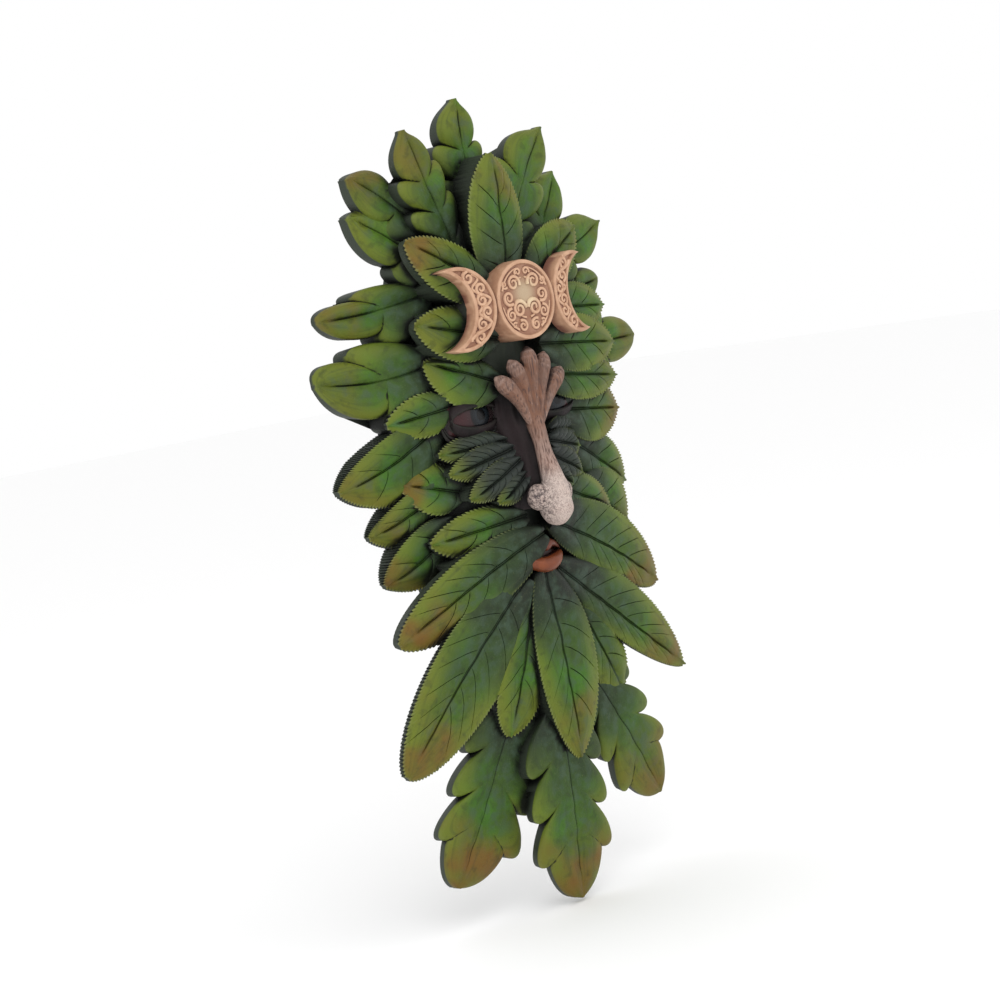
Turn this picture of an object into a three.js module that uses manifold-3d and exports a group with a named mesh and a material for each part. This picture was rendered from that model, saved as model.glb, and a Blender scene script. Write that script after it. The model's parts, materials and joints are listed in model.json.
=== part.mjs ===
// A green man wall plaque, cast in one piece: a face of overlapping leaves with a branch for its nose,
// a moustache and beard of toothed leaves, a crown of oak leaves and three moons on the forehead.
// Millimetres, +Z up. The flat back lies in the plane y = 0 and the face looks along -Y.
// The origin is on the back, on the centre line, half way up.

import * as THREE from 'three';
import { mergeVertices } from 'three/addons/utils/BufferGeometryUtils.js';
import Module from 'manifold-3d';

const wasm = await Module();
wasm.setup();

// Driving sizes.
const maskHeight = 400; // crown tip to beard tip
const leafEdge = 5; // rim of a toothed leaf that stands clear of the face
const browEdge = 8; // rim of the thicker leaves of the brow, moustache and temples
const sideEdge = 14; // rim of an outer leaf, deep enough to reach the flat back
const crownEdge = 11; // rim of a crown oak leaf
const tallEdge = 14; // rim of the three tall oak leaves
const beardEdge = 11; // rim of a beard oak leaf
const ribGroove = 1.3; // depth of a leaf's middle groove
const bladeSwell = 1.6; // how far each half of a blade stands up beside the groove
const rimFall = 1.8; // how far a blade turns down at its rim
const moonRim = 2.6; // width of the raised rim round each moon
const moonField = 1.2; // how far the field inside the rim is sunk
const moonGap = 0.6; // between the disc and each crescent
const discRadius = 19;
const crescentOuter = 20; // radius of a crescent's edge beside the disc
const crescentInner = 18.8; // radius of its hollow edge
const crescentWidth = 12.5;
const crescentDepth = 8;
const lidWidth = 6;
const recessWidth = 8; // hanging recess in the back
const recessHeight = 18;
const recessDepth = 8;

// Places are counted in steps: x to the viewer's right, z up, and h the height off the wall.
// A 400 mm mask has steps of one millimetre.
const stepsHigh = 400;
const step = maskHeight / stepsHigh;

const rimCurve = 3; // power of the fall across a blade: all of it near the rim
const grooveShare = 0.5; // share of each half that the middle groove takes
const rowBend = 1.4; // power by which a row starts square to the rib, then sweeps
const stock = 3; // stock behind the flat back, in steps, trimmed off at the end
const bladeRows = 4;
const bladeColumns = 4;
const plainColumns = 2;
const bluntTip = 0.04; // share of a leaf's width left at its two ends
const wallDraft = 0.93; // the back of a rim is this much narrower than its front
const tipThinning = 0.45; // share of a rim's depth lost at the tip
const tallThinning = 0.8;
const bodySink = 2; // how far leaves run into the body, in steps
const joinTolerance = 0.05; // joins drop edges shorter than this
const seamTolerance = 0.7; // slivers that the joins leave are evened out within this

const at = (x, z, h) => new THREE.Vector3(x * step, -h * step, z * step);

// A closed mesh becomes a solid that can be joined and cut.
function toSolid(geometry) {
  const bare = geometry.clone();
  bare.deleteAttribute('normal');
  bare.deleteAttribute('uv');
  const merged = mergeVertices(bare, 1e-4);
  const mesh = new wasm.Mesh({
    numProp: 3,
    tolerance: joinTolerance,
    vertProperties: new Float32Array(merged.attributes.position.array),
    triVerts: new Uint32Array(merged.index.array),
  });
  return new wasm.Manifold(mesh);
}

// A block of rows by columns whose every corner is put in place by a function of
// u (0 to 1 along), v (-1 to 1 across) and front (1 at the front, 0 at the back).
function shapedBlock(rows, columns, place) {
  const block = new THREE.BoxGeometry(1, 1, 1, rows, columns, 1);
  const corners = block.attributes.position;
  for (let i = 0; i < corners.count; i += 1) {
    const spot = place(corners.getX(i) + 0.5, corners.getY(i) * 2, corners.getZ(i) + 0.5);
    corners.setXYZ(i, spot.x, spot.y, spot.z);
  }
  return toSolid(block);
}

// A round bar between two places, its radius in steps given at even spaces, flat below and round
// at the end, which rises past the last radius by shares of it.
const barSides = 6;
const barEnd = { shoulder: 0.7, rise: 0.5, cap: 0.75 };
function roundBar(from, to, radii, sides = barSides) {
  const length = from.distanceTo(to);
  const spacing = length / (radii.length - 1);
  const profile = radii.map((radius, i) => new THREE.Vector2(radius * step, spacing * i));
  const last = profile[profile.length - 1].x;
  profile.unshift(new THREE.Vector2(0, 0));
  profile.push(new THREE.Vector2(last * barEnd.shoulder, length + last * barEnd.rise));
  profile.push(new THREE.Vector2(0, length + last * barEnd.cap));
  const bar = new THREE.LatheGeometry(profile, sides);
  const along = to.clone().sub(from).normalize();
  bar.applyQuaternion(new THREE.Quaternion().setFromUnitVectors(new THREE.Vector3(0, 1, 0), along));
  bar.translate(from.x, from.y, from.z);
  return toSolid(bar);
}

// Egg shape: a sphere pulled to three half sizes in steps.
const eggSides = 9;
const eggRings = 0.75; // rings for each side
function egg(place, half, sides = eggSides) {
  const ball = new THREE.SphereGeometry(1, sides, Math.round(sides * eggRings));
  ball.scale(half[0] * step, half[2] * step, half[1] * step);
  ball.translate(place.x, place.y, place.z);
  return toSolid(ball);
}

// The body behind the leaves: place up the mask, half width, height of its middle, all in steps.
const bodyRim = 5;
const noBody = 1000; // height that is no limit, where the body doesn't reach
const bodyStations = [
  [-152, 6, 8],
  [-138, 24, 18],
  [-110, 40, 25],
  [-65, 42, 31],
  [-30, 50, 34],
  [15, 60, 37],
  [50, 58, 37],
  [90, 46, 39],
  [125, 36, 34],
  [150, 28, 26],
  [166, 9, 19],
];
const bodyLow = bodyStations[0][0];
const bodyHigh = bodyStations[bodyStations.length - 1][0];

// Half width and middle height of the body at a place up the mask.
function bodyAt(z) {
  const level = THREE.MathUtils.clamp(z, bodyLow, bodyHigh - 0.001);
  const i = bodyStations.findIndex((station) => station[0] > level);
  const [below, above] = [bodyStations[i - 1], bodyStations[i]];
  const share = THREE.MathUtils.smoothstep(level, below[0], above[0]);
  return [1, 2].map((column) => THREE.MathUtils.lerp(below[column], above[column], share));
}

// Height of the body's face, which falls to its rim at both sides.
function bodyFace(x, z) {
  const [half, middle] = bodyAt(z);
  const share = Math.abs(x) / half;
  const beyond = z < bodyLow || z > bodyHigh || share > 1;
  return beyond ? noBody : bodyRim + (middle - bodyRim) * (1 - share ** 2);
}

const bodyRows = 10;
const bodyColumns = 6;
const bodyInset = 0.999; // keeps its corners inside its own outline
function bodySolid() {
  return shapedBlock(bodyRows, bodyColumns, (u, v, front) => {
    const z = THREE.MathUtils.lerp(bodyLow, bodyHigh, u);
    const x = -v * bodyInset * bodyAt(z)[0];
    return at(x, z, front ? bodyFace(x, z) : -stock);
  });
}

// An outline gives, for a row of the leaf, where the row starts on the middle rib, where it ends
// on the margin, and the half width there, all as shares of the leaf's length and half width.
const toothedSweep = 0.7; // how far the rows lean towards the tip
const stalkShare = 0.05; // how far along its full shape a leaf's stalk end is cut
const toothedFullness = 0.72; // 1 for a parabola, less for a fuller leaf
const broadFullness = 0.6;
const ovateLate = 1.9; // power that moves the widest place of a blade towards its tip
const toothedOutline = (fullness, late) => (u) => {
  const reach = u + toothedSweep * u * (1 - u);
  const grown = (stalkShare + (1 - stalkShare) * reach) ** late;
  return [u, reach, (4 * grown * (1 - grown)) ** fullness];
};

// Oak leaf: pairs of round lobes with notches between, then a long end lobe. endStart is where the end
// lobe starts, sweep how far the lobes lean towards the tip, notch the half width left in a notch,
// endWidth the end lobe's, lobeFull and endFull powers that fill their lobes, and point the sharpness
// of the tip.
const rowsPerLobe = 3;
const rowsInEnd = 4;
const endForward = 0.9; // power that moves the end lobe's widest place towards the tip
const crownShape = { pairs: 1, endStart: 0.42, sweep: 0.17, notch: 0.31 };
const crownLobes = { lobeFull: 0.78, endWidth: 0.7, endFull: 1.1, point: 1 };
const crownOak = { ...crownShape, ...crownLobes };
const oakRows = (pairs) => pairs * rowsPerLobe + rowsInEnd;
function oakOutline({ pairs, endStart, sweep, notch, lobeFull, endWidth, endFull, point }) {
  return (u) => {
    const row = u * oakRows(pairs);
    const lobe = row / rowsPerLobe;
    if (lobe < pairs) {
      const phase = Math.PI * (lobe % 1);
      const half = notch + (1 - notch) * Math.sin(phase) ** lobeFull;
      const round = Math.floor(lobe) + (1 - Math.cos(phase)) / 2;
      return [(endStart * lobe) / pairs, (endStart * round) / pairs + sweep * half, half];
    }
    const end = Math.min(1, (row - pairs * rowsPerLobe) / rowsInEnd);
    const full = Math.max(0, Math.sin(Math.PI * end ** endForward)) ** endFull;
    const half = notch * (1 - end) ** 2 + endWidth * full;
    const round = THREE.MathUtils.lerp((1 - Math.cos(Math.PI * end)) / 2, end, end * point);
    const start = endStart + sweep * notch;
    return [THREE.MathUtils.lerp(endStart, 1, end), THREE.MathUtils.lerp(start, 1, round), half];
  };
}

// A leaf from its stalk end to its tip. bow swings its middle to the left of that line, as its tip
// sees it from behind, lean gives that side a larger share of the width and stagger moves its lobes
// towards the tip. arch lifts its middle off the line, and tilt raises its left side.
// Its rim goes back by its edge, or on into the body where that is further.
function leafSolid(leaf) {
  const { from, to, width, edge, outline, rows, columns = bladeColumns } = leaf;
  const { bow = 0, lean = 0, stagger = 0, arch = 2, tilt = 0, thinning = tipThinning } = leaf;
  const along = new THREE.Vector2(to[0] - from[0], to[1] - from[1]).normalize();
  const left = new THREE.Vector2(-along.y, along.x);
  const middle = from.map((value, i) => (value + to[i]) / 2);
  const swing = [left.x * bow, left.y * bow, arch];
  const bend = middle.map((value, i) => value + 2 * swing[i]);
  const knots = [from, bend, to].map((place) => new THREE.Vector3(...place));
  const spine = new THREE.QuadraticBezierCurve3(...knots);
  return shapedBlock(rows, columns, (u, v, front) => {
    const [rib, reach, share] = outline(u);
    const half = Math.max(bluntTip, share);
    const across = Math.abs(v);
    const margin = reach + stagger * v * 4 * u * (1 - u);
    const place = spine.getPoint(Math.min(1, THREE.MathUtils.lerp(rib, margin, across ** rowBend)));
    const aside = (width / 2) * half * (v + lean * across) * (front ? 1 : wallDraft);
    const [x, z] = [place.x + left.x * aside, place.y + left.y * aside];
    const rim = place.z + tilt * aside - (rimFall * across ** rimCurve) / step;
    const groove = ribGroove * (1 - Math.min(1, across / grooveShare));
    const swell = bladeSwell * 4 * across * (1 - across);
    const relief = (swell - groove) * Math.min(1, half * 2);
    const thinned = edge * (1 - thinning * u ** 2);
    const back = Math.min(rim - thinned / step, bodyFace(x, z) - bodySink);
    return at(x, z, front ? rim + relief / step : back);
  });
}

function toothedLeaf(from, to, width, { fullness = toothedFullness, late = 1, ...more } = {}) {
  const outline = toothedOutline(fullness, late);
  return leafSolid({ from, to, width, edge: leafEdge, outline, rows: bladeRows, ...more });
}
function oakLeaf(from, to, width, more = {}) {
  const shape = { ...crownOak, ...more };
  const [outline, rows] = [oakOutline(shape), oakRows(shape.pairs)];
  return leafSolid({ from, to, width, edge: crownEdge, outline, rows, columns: plainColumns, ...more });
}
const brow = { edge: browEdge };
const side = { edge: sideEdge };
const plain = { columns: plainColumns }; // a leaf seen in part only, without the swell of its halves
const long = { rows: bladeRows + 1 };
const small = { rows: bladeRows - 1, ...plain };
const broad = { fullness: broadFullness };
const ovate = { late: ovateLate };
const blunt = { point: 0.55 };
const club = { ...side, point: 0.3, endFull: 0.8, notch: 0.26 };
const tall = { edge: tallEdge, thinning: tallThinning };
const tallOak = { ...tall, pairs: 2, endStart: 0.56, sweep: 0.14, endWidth: 0.62 };
const threePairs = { pairs: 3, endStart: 0.64 };
const beardShape = { pairs: 3, endStart: 0.66, sweep: 0.2, notch: 0.5 };
const beardLobes = { lobeFull: 1.25, endWidth: 0.44, endFull: 0.7, point: 0.45 };
const beardOak = { edge: beardEdge, ...beardShape, ...beardLobes };

// Crown and temples: oak leaves.
function crown() {
  return [
    oakLeaf([1, 136, 24], [-1, 194, 31], 32, { ...tallOak, lean: -0.1 }),
    oakLeaf([-14, 112, 33], [-40, 181, 34], 30, { ...tallOak, ...threePairs, lean: -0.05, bow: 2 }),
    oakLeaf([9, 112, 37], [48, 176, 36], 37, { ...tallOak, lean: 0.1, bow: 4 }),
    oakLeaf([-30, 133, 28], [-63, 163, 17], 28, { ...blunt, stagger: -0.07 }),
    oakLeaf([36, 112, 28], [66, 155, 22], 30),
    oakLeaf([-26, 112, 30], [-66, 145, 16], 30, { ...blunt, stagger: -0.07 }),
    oakLeaf([28, 104, 36], [86, 127, 29], 30),
    oakLeaf([-30, 106, 28], [-87, 99, 7], 30, { ...club, lean: -0.25, bow: 2, stagger: -0.06 }),
    oakLeaf([32, 90, 36], [86, 99, 21], 28, club),
    oakLeaf([-34, 73, 28], [-94, 70, 6], 46, { ...club, lean: 0.2, bow: 4, stagger: -0.1 }),
    oakLeaf([38, 66, 32], [112, 67, 16], 38, club),
  ];
}

// Brow, cheek and temple leaves.
function faceLeaves() {
  return [
    toothedLeaf([0, 100, 44], [0, 165, 48], 34, { ...long, ...brow, lean: -0.16 }),
    toothedLeaf([-10, 99, 46], [-52, 129, 37], 26, { ...brow, lean: 0.12 }),
    toothedLeaf([13, 102, 46], [57, 126, 40], 27, brow),
    toothedLeaf([-12, 78, 45], [-52, 90, 34], 26, { ...brow, lean: 0.07 }),
    toothedLeaf([24, 88, 42], [78, 85, 31], 24, { ...plain, ...brow }),
    toothedLeaf([-11, 56, 42], [-46, 72, 29], 25, { ...brow, lean: 0.3 }),
    toothedLeaf([14, 72, 45], [76, 66, 36], 28, brow),
    toothedLeaf([15, 57, 43], [78, 49, 32], 24, { ...plain, ...brow }),
    toothedLeaf([-34, 50, 33], [-67, 46, 20], 20, plain),
    toothedLeaf([30, 38, 36], [84, 32, 24], 32, { ...plain, ...brow }),
    toothedLeaf([-40, 44, 27], [-91, 19, 6], 33, { ...side, tilt: -0.12, bow: 3, lean: -0.23 }),
    toothedLeaf([42, 20, 30], [95, -7, 10], 26, { ...side, ...plain, tilt: 0.1 }),
    toothedLeaf([-40, 18, 25], [-77, -5, 5], 26, { ...side, tilt: -0.15, bow: 3, lean: -0.3 }),
    toothedLeaf([44, -2, 27], [92, -28, 10], 28, { ...side, ...plain, tilt: 0.1, lean: 0.2 }),
    toothedLeaf([-34, 8, 28], [-62, 17, 17], 24, plain),
    toothedLeaf([-40, -4, 23], [-72, -29, 5], 28, { ...side, ...plain, tilt: -0.1, bow: 3 }),
    toothedLeaf([40, -12, 25], [74, -44, 8], 26, { ...side, ...plain, tilt: 0.1 }),
  ];
}

// Small leaves that fan out under each eye.
const underEye = [
  { from: [15, 29, 42], to: [46, 28, 29], width: 14 },
  { from: [12, 25, 43], to: [44, 18, 32], width: 15 },
  { from: [10, 19, 44], to: [38, 5, 37], width: 15 },
  { from: [7, 12, 44], to: [25, 1, 42], width: 12 },
];
function underEyeLeaves() {
  const mirrored = ([x, z, h]) => [-x, z, h];
  return underEye.flatMap((row) => [
    toothedLeaf(mirrored(row.from), mirrored(row.to), row.width, small),
    toothedLeaf(row.from, row.to, row.width, small),
  ]);
}

// Moustache and beard.
function beardLeaves() {
  return [
    toothedLeaf([-9, -8, 41], [-56, -13, 24], 23, { ...plain, lean: -0.12 }),
    toothedLeaf([14, 2, 42], [65, -17, 26], 22, plain),
    toothedLeaf([-2, -18, 44], [-82, -56, 20], 31, { ...long, ...brow, ...broad, bow: -2, lean: -0.08 }),
    toothedLeaf([4, -13, 44], [94, -60, 22], 33, { ...long, ...brow, ...broad, bow: 2, lean: 0.2 }),
    toothedLeaf([-6, -38, 37], [-30, -112, 27], 29, { ...ovate, lean: 0.12 }),
    toothedLeaf([16, -50, 35], [54, -110, 24], 25, { ...plain, ...ovate, lean: -0.15 }),
    toothedLeaf([-11, -38, 37], [-91, -117, 20], 42, { ...long, ...broad, bow: -4, lean: 0.12 }),
    toothedLeaf([8, -36, 39], [105, -107, 21], 29, { ...long, bow: -1, lean: -0.3 }),
    toothedLeaf([-2, -36, 40], [9, -132, 33], 39, { ...long, lean: 0.15 }),
    oakLeaf([-19, -92, 25], [-63, -179, 9], 54, { ...beardOak, lean: 0.2 }),
    oakLeaf([24, -84, 28], [77, -168, 17], 44, { ...beardOak, lean: -0.05 }),
    oakLeaf([2, -100, 30], [0, -201, 27], 52, beardOak),
  ];
}

// The eyes: a ball between two lids, which pass each other at the corners of the eye.
const eyeAside = 26;
const eyeUp = 43;
const eyeBack = 26;
const eyeBall = { halfX: 18, halfZ: 13, halfH: 12 };
const eyeSides = 8;
const lidRows = 6;
const eyeHalfLength = 15;
const eyeHalfOpen = 4.5;
const lidStand = 1.8; // how far the lids stand off the ball
const lidCross = 0.8; // how far the lids pass each other
const lidFoot = 4; // how far their backs lie behind the ball's middle
const ballEdge = 0.1; // the least share of the ball's curve that a lid follows
const cornerShare = 0.4; // width of a lid at the corners, as a share of its full width

function eyelid(sign, upward) {
  return shapedBlock(lidRows, 1, (u, v, front) => {
    const open = Math.sin(Math.PI * u);
    const x = -upward * eyeHalfLength * Math.cos(Math.PI * u);
    const inner = eyeHalfOpen * open - lidCross * (1 - open);
    const outward = ((v + 1) / 2) * THREE.MathUtils.lerp(cornerShare, 1, open);
    const z = upward * (inner + (lidWidth / step) * outward);
    const fall = Math.max(ballEdge, 1 - (x / eyeBall.halfX) ** 2 - (z / eyeBall.halfZ) ** 2);
    const height = eyeBack + eyeBall.halfH * Math.sqrt(fall) + lidStand;
    return at(sign * eyeAside + x, eyeUp + z, front ? height : eyeBack - lidFoot);
  });
}

function eyes() {
  return [-1, 1].flatMap((sign) => [
    egg(at(sign * eyeAside, eyeUp, eyeBack), [eyeBall.halfX, eyeBall.halfZ, eyeBall.halfH], eyeSides),
    eyelid(sign, 1),
    eyelid(sign, -1),
  ]);
}

// The nose is a branch: a knob below, a narrow bridge and five fingers that fan over the forehead.
const branchFoot = [1.8, -3, 52];
const branchFork = [-0.5, 31, 48.5];
const branchRadii = [7.2, 5.6, 4.2, 4.2]; // from the foot to the fork, in steps
const branchSides = 8;
const fingerRadii = [2.6, 4.7];
const fingers = [
  [-21, 60, 47],
  [-11, 67, 48],
  [1, 72, 49],
  [12, 68, 49],
  [24, 59, 47],
];
const knob = { place: [1.5, -6, 51.5], half: [8.3, 9.3, 8.5] };
const palm = { place: [-0.5, 42, 46], half: [7, 9, 4], sides: 8 };
const nostrils = [
  [-6.3, 0, 48.6],
  [8, 0.4, 48.2],
];
const nostrilHalf = [6.4, 6.4, 6.4];
const nostrilSides = 6;
// The flanks of the nose slope from the brow down to the nostrils.
const flank = { top: 53, bottom: -5, halfTop: 15, halfBottom: 19, fall: 14, back: 20 };
const flankRidge = [46, 49]; // at its top and its bottom
const flankCurve = 1.5; // power of the slope away from the ridge
const flankRows = 3;
const flankColumns = 4;

function nose() {
  const flanks = shapedBlock(flankRows, flankColumns, (u, v, front) => {
    const half = THREE.MathUtils.lerp(flank.halfTop, flank.halfBottom, u);
    const ridge = THREE.MathUtils.lerp(...flankRidge, u);
    const height = front ? ridge - flank.fall * Math.abs(v) ** flankCurve : flank.back;
    return at(half * v, THREE.MathUtils.lerp(flank.top, flank.bottom, u), height);
  });
  return [
    flanks,
    roundBar(at(...branchFoot), at(...branchFork), branchRadii, branchSides),
    ...fingers.map((end) => roundBar(at(...branchFork), at(...end), fingerRadii)),
    egg(at(...palm.place), palm.half, palm.sides),
    egg(at(...knob.place), knob.half),
    ...nostrils.map((place) => egg(at(...place), nostrilHalf, nostrilSides)),
  ];
}

// The lips: the lower one, then the two halves of the upper one.
const lips = [
  { place: [-1, -33, 37], half: [15, 4.6, 6], sides: 8 },
  { place: [-7, -24, 36], half: [9, 3.4, 5], sides: 6 },
  { place: [6, -24, 36], half: [9, 3.4, 5], sides: 6 },
];
const mouth = () => lips.map((lip) => egg(at(...lip.place), lip.half, lip.sides));

// The three moons, the disc between two crescents.
const moonsUp = 94;
const moonHeight = 56;
const discSeat = 34; // height of the disc's back, sunk in the brow
const moonTurn = 12; // degrees
const moonSegments = 8;
const moonFoot = { aside: 26, height: 42, half: [6, 9, 10], sides: 6 };

// One moon: a slab with a raised rim round a sunken field. side is 0 for the disc, or -1 or 1 for a
// crescent, whose outer horns are turned back round the edge of the disc.
function moon(outline, field, side, depth) {
  const slabOf = (shape, thickness, front) => {
    const options = { depth: thickness, bevelEnabled: false, curveSegments: moonSegments };
    const slab = new THREE.ExtrudeGeometry(shape, options);
    slab.rotateX(Math.PI / 2);
    slab.translate(0, thickness - front, 0);
    if (side > 0) slab.rotateZ(Math.PI).rotateX(Math.PI);
    slab.translate(side * crescentOuter, 0, 0);
    slab.rotateZ(THREE.MathUtils.degToRad(side * moonTurn));
    slab.translate(side * (discRadius + moonGap), -moonHeight * step, moonsUp * step);
    return toSolid(slab);
  };
  return slabOf(outline, depth, 0).subtract(slabOf(field, moonField * 2, moonField));
}

function discShape(inset) {
  return new THREE.Shape().absarc(0, 0, discRadius - inset, 0, Math.PI * 2);
}

// A crescent between two arcs, its outer arc bulging towards +x.
function crescentShape(inset) {
  const outer = crescentOuter - inset;
  const inner = crescentInner + inset;
  const between = crescentInner + crescentWidth - crescentOuter;
  const chord = (inner ** 2 - outer ** 2 - between ** 2) / (2 * between);
  const horn = Math.sqrt(outer ** 2 - chord ** 2);
  const outerTurn = Math.atan2(horn, chord);
  const innerTurn = Math.atan2(horn, between + chord);
  const shape = new THREE.Shape();
  shape.absarc(0, 0, outer, -outerTurn, outerTurn, false);
  shape.absarc(-between, 0, inner, innerTurn, -innerTurn, true);
  return shape;
}

function moons() {
  const disc = moon(discShape(0), discShape(moonRim), 0, (moonHeight - discSeat) * step);
  const crescents = [-1, 1].flatMap((side) => [
    moon(crescentShape(0), crescentShape(moonRim), side, crescentDepth),
    egg(at(side * moonFoot.aside, moonsUp, moonFoot.height), moonFoot.half, moonFoot.sides),
  ]);
  return [disc, ...crescents];
}

// The hanging recess in the back.
const recessUp = 120;

const box = (sizeX, sizeY, sizeZ, x, y, z) =>
  toSolid(new THREE.BoxGeometry(sizeX, sizeY, sizeZ).translate(x, y, z));

function plaque() {
  const leaves = [...crown(), ...faceLeaves(), ...underEyeLeaves(), ...beardLeaves()];
  const features = [...eyes(), ...nose(), ...mouth(), ...moons()];
  const joined = [...leaves, ...features].reduce((all, next) => all.add(next), bodySolid());
  const behind = box(maskHeight * 2, maskHeight, maskHeight * 2, 0, maskHeight / 2, 0);
  const recess = box(recessWidth, recessDepth * 2, recessHeight, 0, 0, recessUp * step);
  return joined.subtract(behind).subtract(recess).simplify(seamTolerance);
}

// The join leaves small pockets shut in under the leaves. The casting is solid there, so only the
// shell of triangles that reaches the crown is kept.
function outerShell(solid) {
  const { vertProperties, triVerts } = solid.getMesh();
  const corners = vertProperties.length / 3;
  const trianglesAt = new Map();
  const edgeKey = (a, b) => Math.min(a, b) * corners + Math.max(a, b);
  const edgesOf = (t) => [0, 1, 2].map((k) => edgeKey(triVerts[3 * t + k], triVerts[3 * t + ((k + 1) % 3)]));
  const heightOf = (t) => vertProperties[3 * triVerts[3 * t] + 2];
  let highest = 0;
  for (let t = 0; t < triVerts.length / 3; t += 1) {
    edgesOf(t).forEach((key) => trianglesAt.set(key, [...(trianglesAt.get(key) ?? []), t]));
    if (heightOf(t) > heightOf(highest)) highest = t;
  }
  const kept = new Set([highest]);
  for (const t of kept) {
    edgesOf(t).forEach((key) => trianglesAt.get(key).forEach((next) => kept.add(next)));
  }
  const geometry = new THREE.BufferGeometry();
  geometry.setAttribute('position', new THREE.BufferAttribute(vertProperties, 3));
  geometry.setIndex([...kept].flatMap((t) => [...triVerts.subarray(3 * t, 3 * t + 3)]));
  return geometry;
}

const paintedResin = new THREE.MeshStandardMaterial({ color: 0x4d6b2c, roughness: 0.6, metalness: 0 });
const plaqueMesh = new THREE.Mesh(outerShell(plaque()), paintedResin);
plaqueMesh.name = 'green_man_plaque';

const group = new THREE.Group();
group.add(plaqueMesh);
export default group;
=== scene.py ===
# Green man wall plaque: the carved and hand-painted surface of the casting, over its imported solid.
import bmesh
import bpy
import json
import math
import random
from mathutils import Matrix, Vector, noise
from mathutils.bvhtree import BVHTree

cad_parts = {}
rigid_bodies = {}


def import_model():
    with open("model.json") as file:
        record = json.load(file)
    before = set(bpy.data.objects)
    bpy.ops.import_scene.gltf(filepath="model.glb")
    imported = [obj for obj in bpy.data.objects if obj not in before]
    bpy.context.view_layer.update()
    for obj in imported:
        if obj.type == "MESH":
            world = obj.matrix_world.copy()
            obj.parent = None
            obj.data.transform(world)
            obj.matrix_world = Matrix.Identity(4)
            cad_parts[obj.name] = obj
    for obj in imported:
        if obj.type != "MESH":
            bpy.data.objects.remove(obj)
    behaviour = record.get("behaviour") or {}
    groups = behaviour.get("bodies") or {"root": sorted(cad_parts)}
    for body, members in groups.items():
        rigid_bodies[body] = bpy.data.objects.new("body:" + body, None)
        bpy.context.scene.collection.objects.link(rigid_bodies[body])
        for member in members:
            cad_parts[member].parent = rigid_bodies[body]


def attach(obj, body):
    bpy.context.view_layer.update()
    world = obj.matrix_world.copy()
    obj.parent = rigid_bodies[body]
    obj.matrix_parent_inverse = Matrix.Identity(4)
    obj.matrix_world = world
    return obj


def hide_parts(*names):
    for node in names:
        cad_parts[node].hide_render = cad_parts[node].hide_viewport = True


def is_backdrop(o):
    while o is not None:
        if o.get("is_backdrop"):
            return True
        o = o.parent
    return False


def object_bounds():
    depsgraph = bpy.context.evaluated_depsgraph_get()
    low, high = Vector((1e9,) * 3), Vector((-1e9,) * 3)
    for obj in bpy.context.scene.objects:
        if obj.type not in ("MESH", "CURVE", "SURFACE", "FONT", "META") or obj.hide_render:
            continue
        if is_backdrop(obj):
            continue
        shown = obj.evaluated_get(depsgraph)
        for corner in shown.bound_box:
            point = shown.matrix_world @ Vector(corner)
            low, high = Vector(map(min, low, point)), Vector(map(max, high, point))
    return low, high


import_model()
cadLow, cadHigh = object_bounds()
mm = 0.001


# Places are (x to the viewer's right, z up, h off the wall) in mm.
def spot(x, z, h):
    return Vector((x, -h, z)) * mm


def blend(a, b, share):
    return a + (b - a) * share


def smooth(low, high, value):
    share = min(1.0, max(0.0, (value - low) / (high - low)))
    return share * share * (3 - 2 * share)


def wander(x, z, size, seed=0.0):
    # soft unevenness of hand modelling, size in mm
    return noise.noise(Vector((x / size, z / size, seed)))


def hexColour(text):
    # sRGB hex to the linear values that a shader wants
    parts = [int(text[i:i + 2], 16) / 255 for i in (0, 2, 4)]
    return [c / 12.92 if c <= 0.04045 else ((c + 0.055) / 1.055) ** 2.4 for c in parts] + [1.0]


# The body behind the leaves: place up the mask, half width, height of its middle.
body = {
    "stations": [
        (-152, 6, 8), (-138, 24, 18), (-110, 40, 25), (-65, 42, 31), (-30, 50, 34), (15, 60, 37),
        (50, 58, 37), (90, 46, 39), (125, 36, 34), (150, 28, 26), (166, 9, 19),
    ],
    "rim": 5, "sink": 2, "rows": 60, "columns": 28, "past": 3,
}
noBody = 1000  # height where no body lies behind


def bodyAt(z):
    stations = body["stations"]
    level = min(max(z, stations[0][0]), stations[-1][0] - 0.001)
    above = next(i for i, station in enumerate(stations) if station[0] > level)
    low, high = stations[above - 1], stations[above]
    share = smooth(low[0], high[0], level)
    return blend(low[1], high[1], share), blend(low[2], high[2], share)


def bodyFace(x, z):
    half, middle = bodyAt(z)
    share = abs(x) / half
    beyond = z < body["stations"][0][0] or z > body["stations"][-1][0]
    return noBody if share > 1 or beyond else body["rim"] + (middle - body["rim"]) * (1 - share ** 2)


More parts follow.
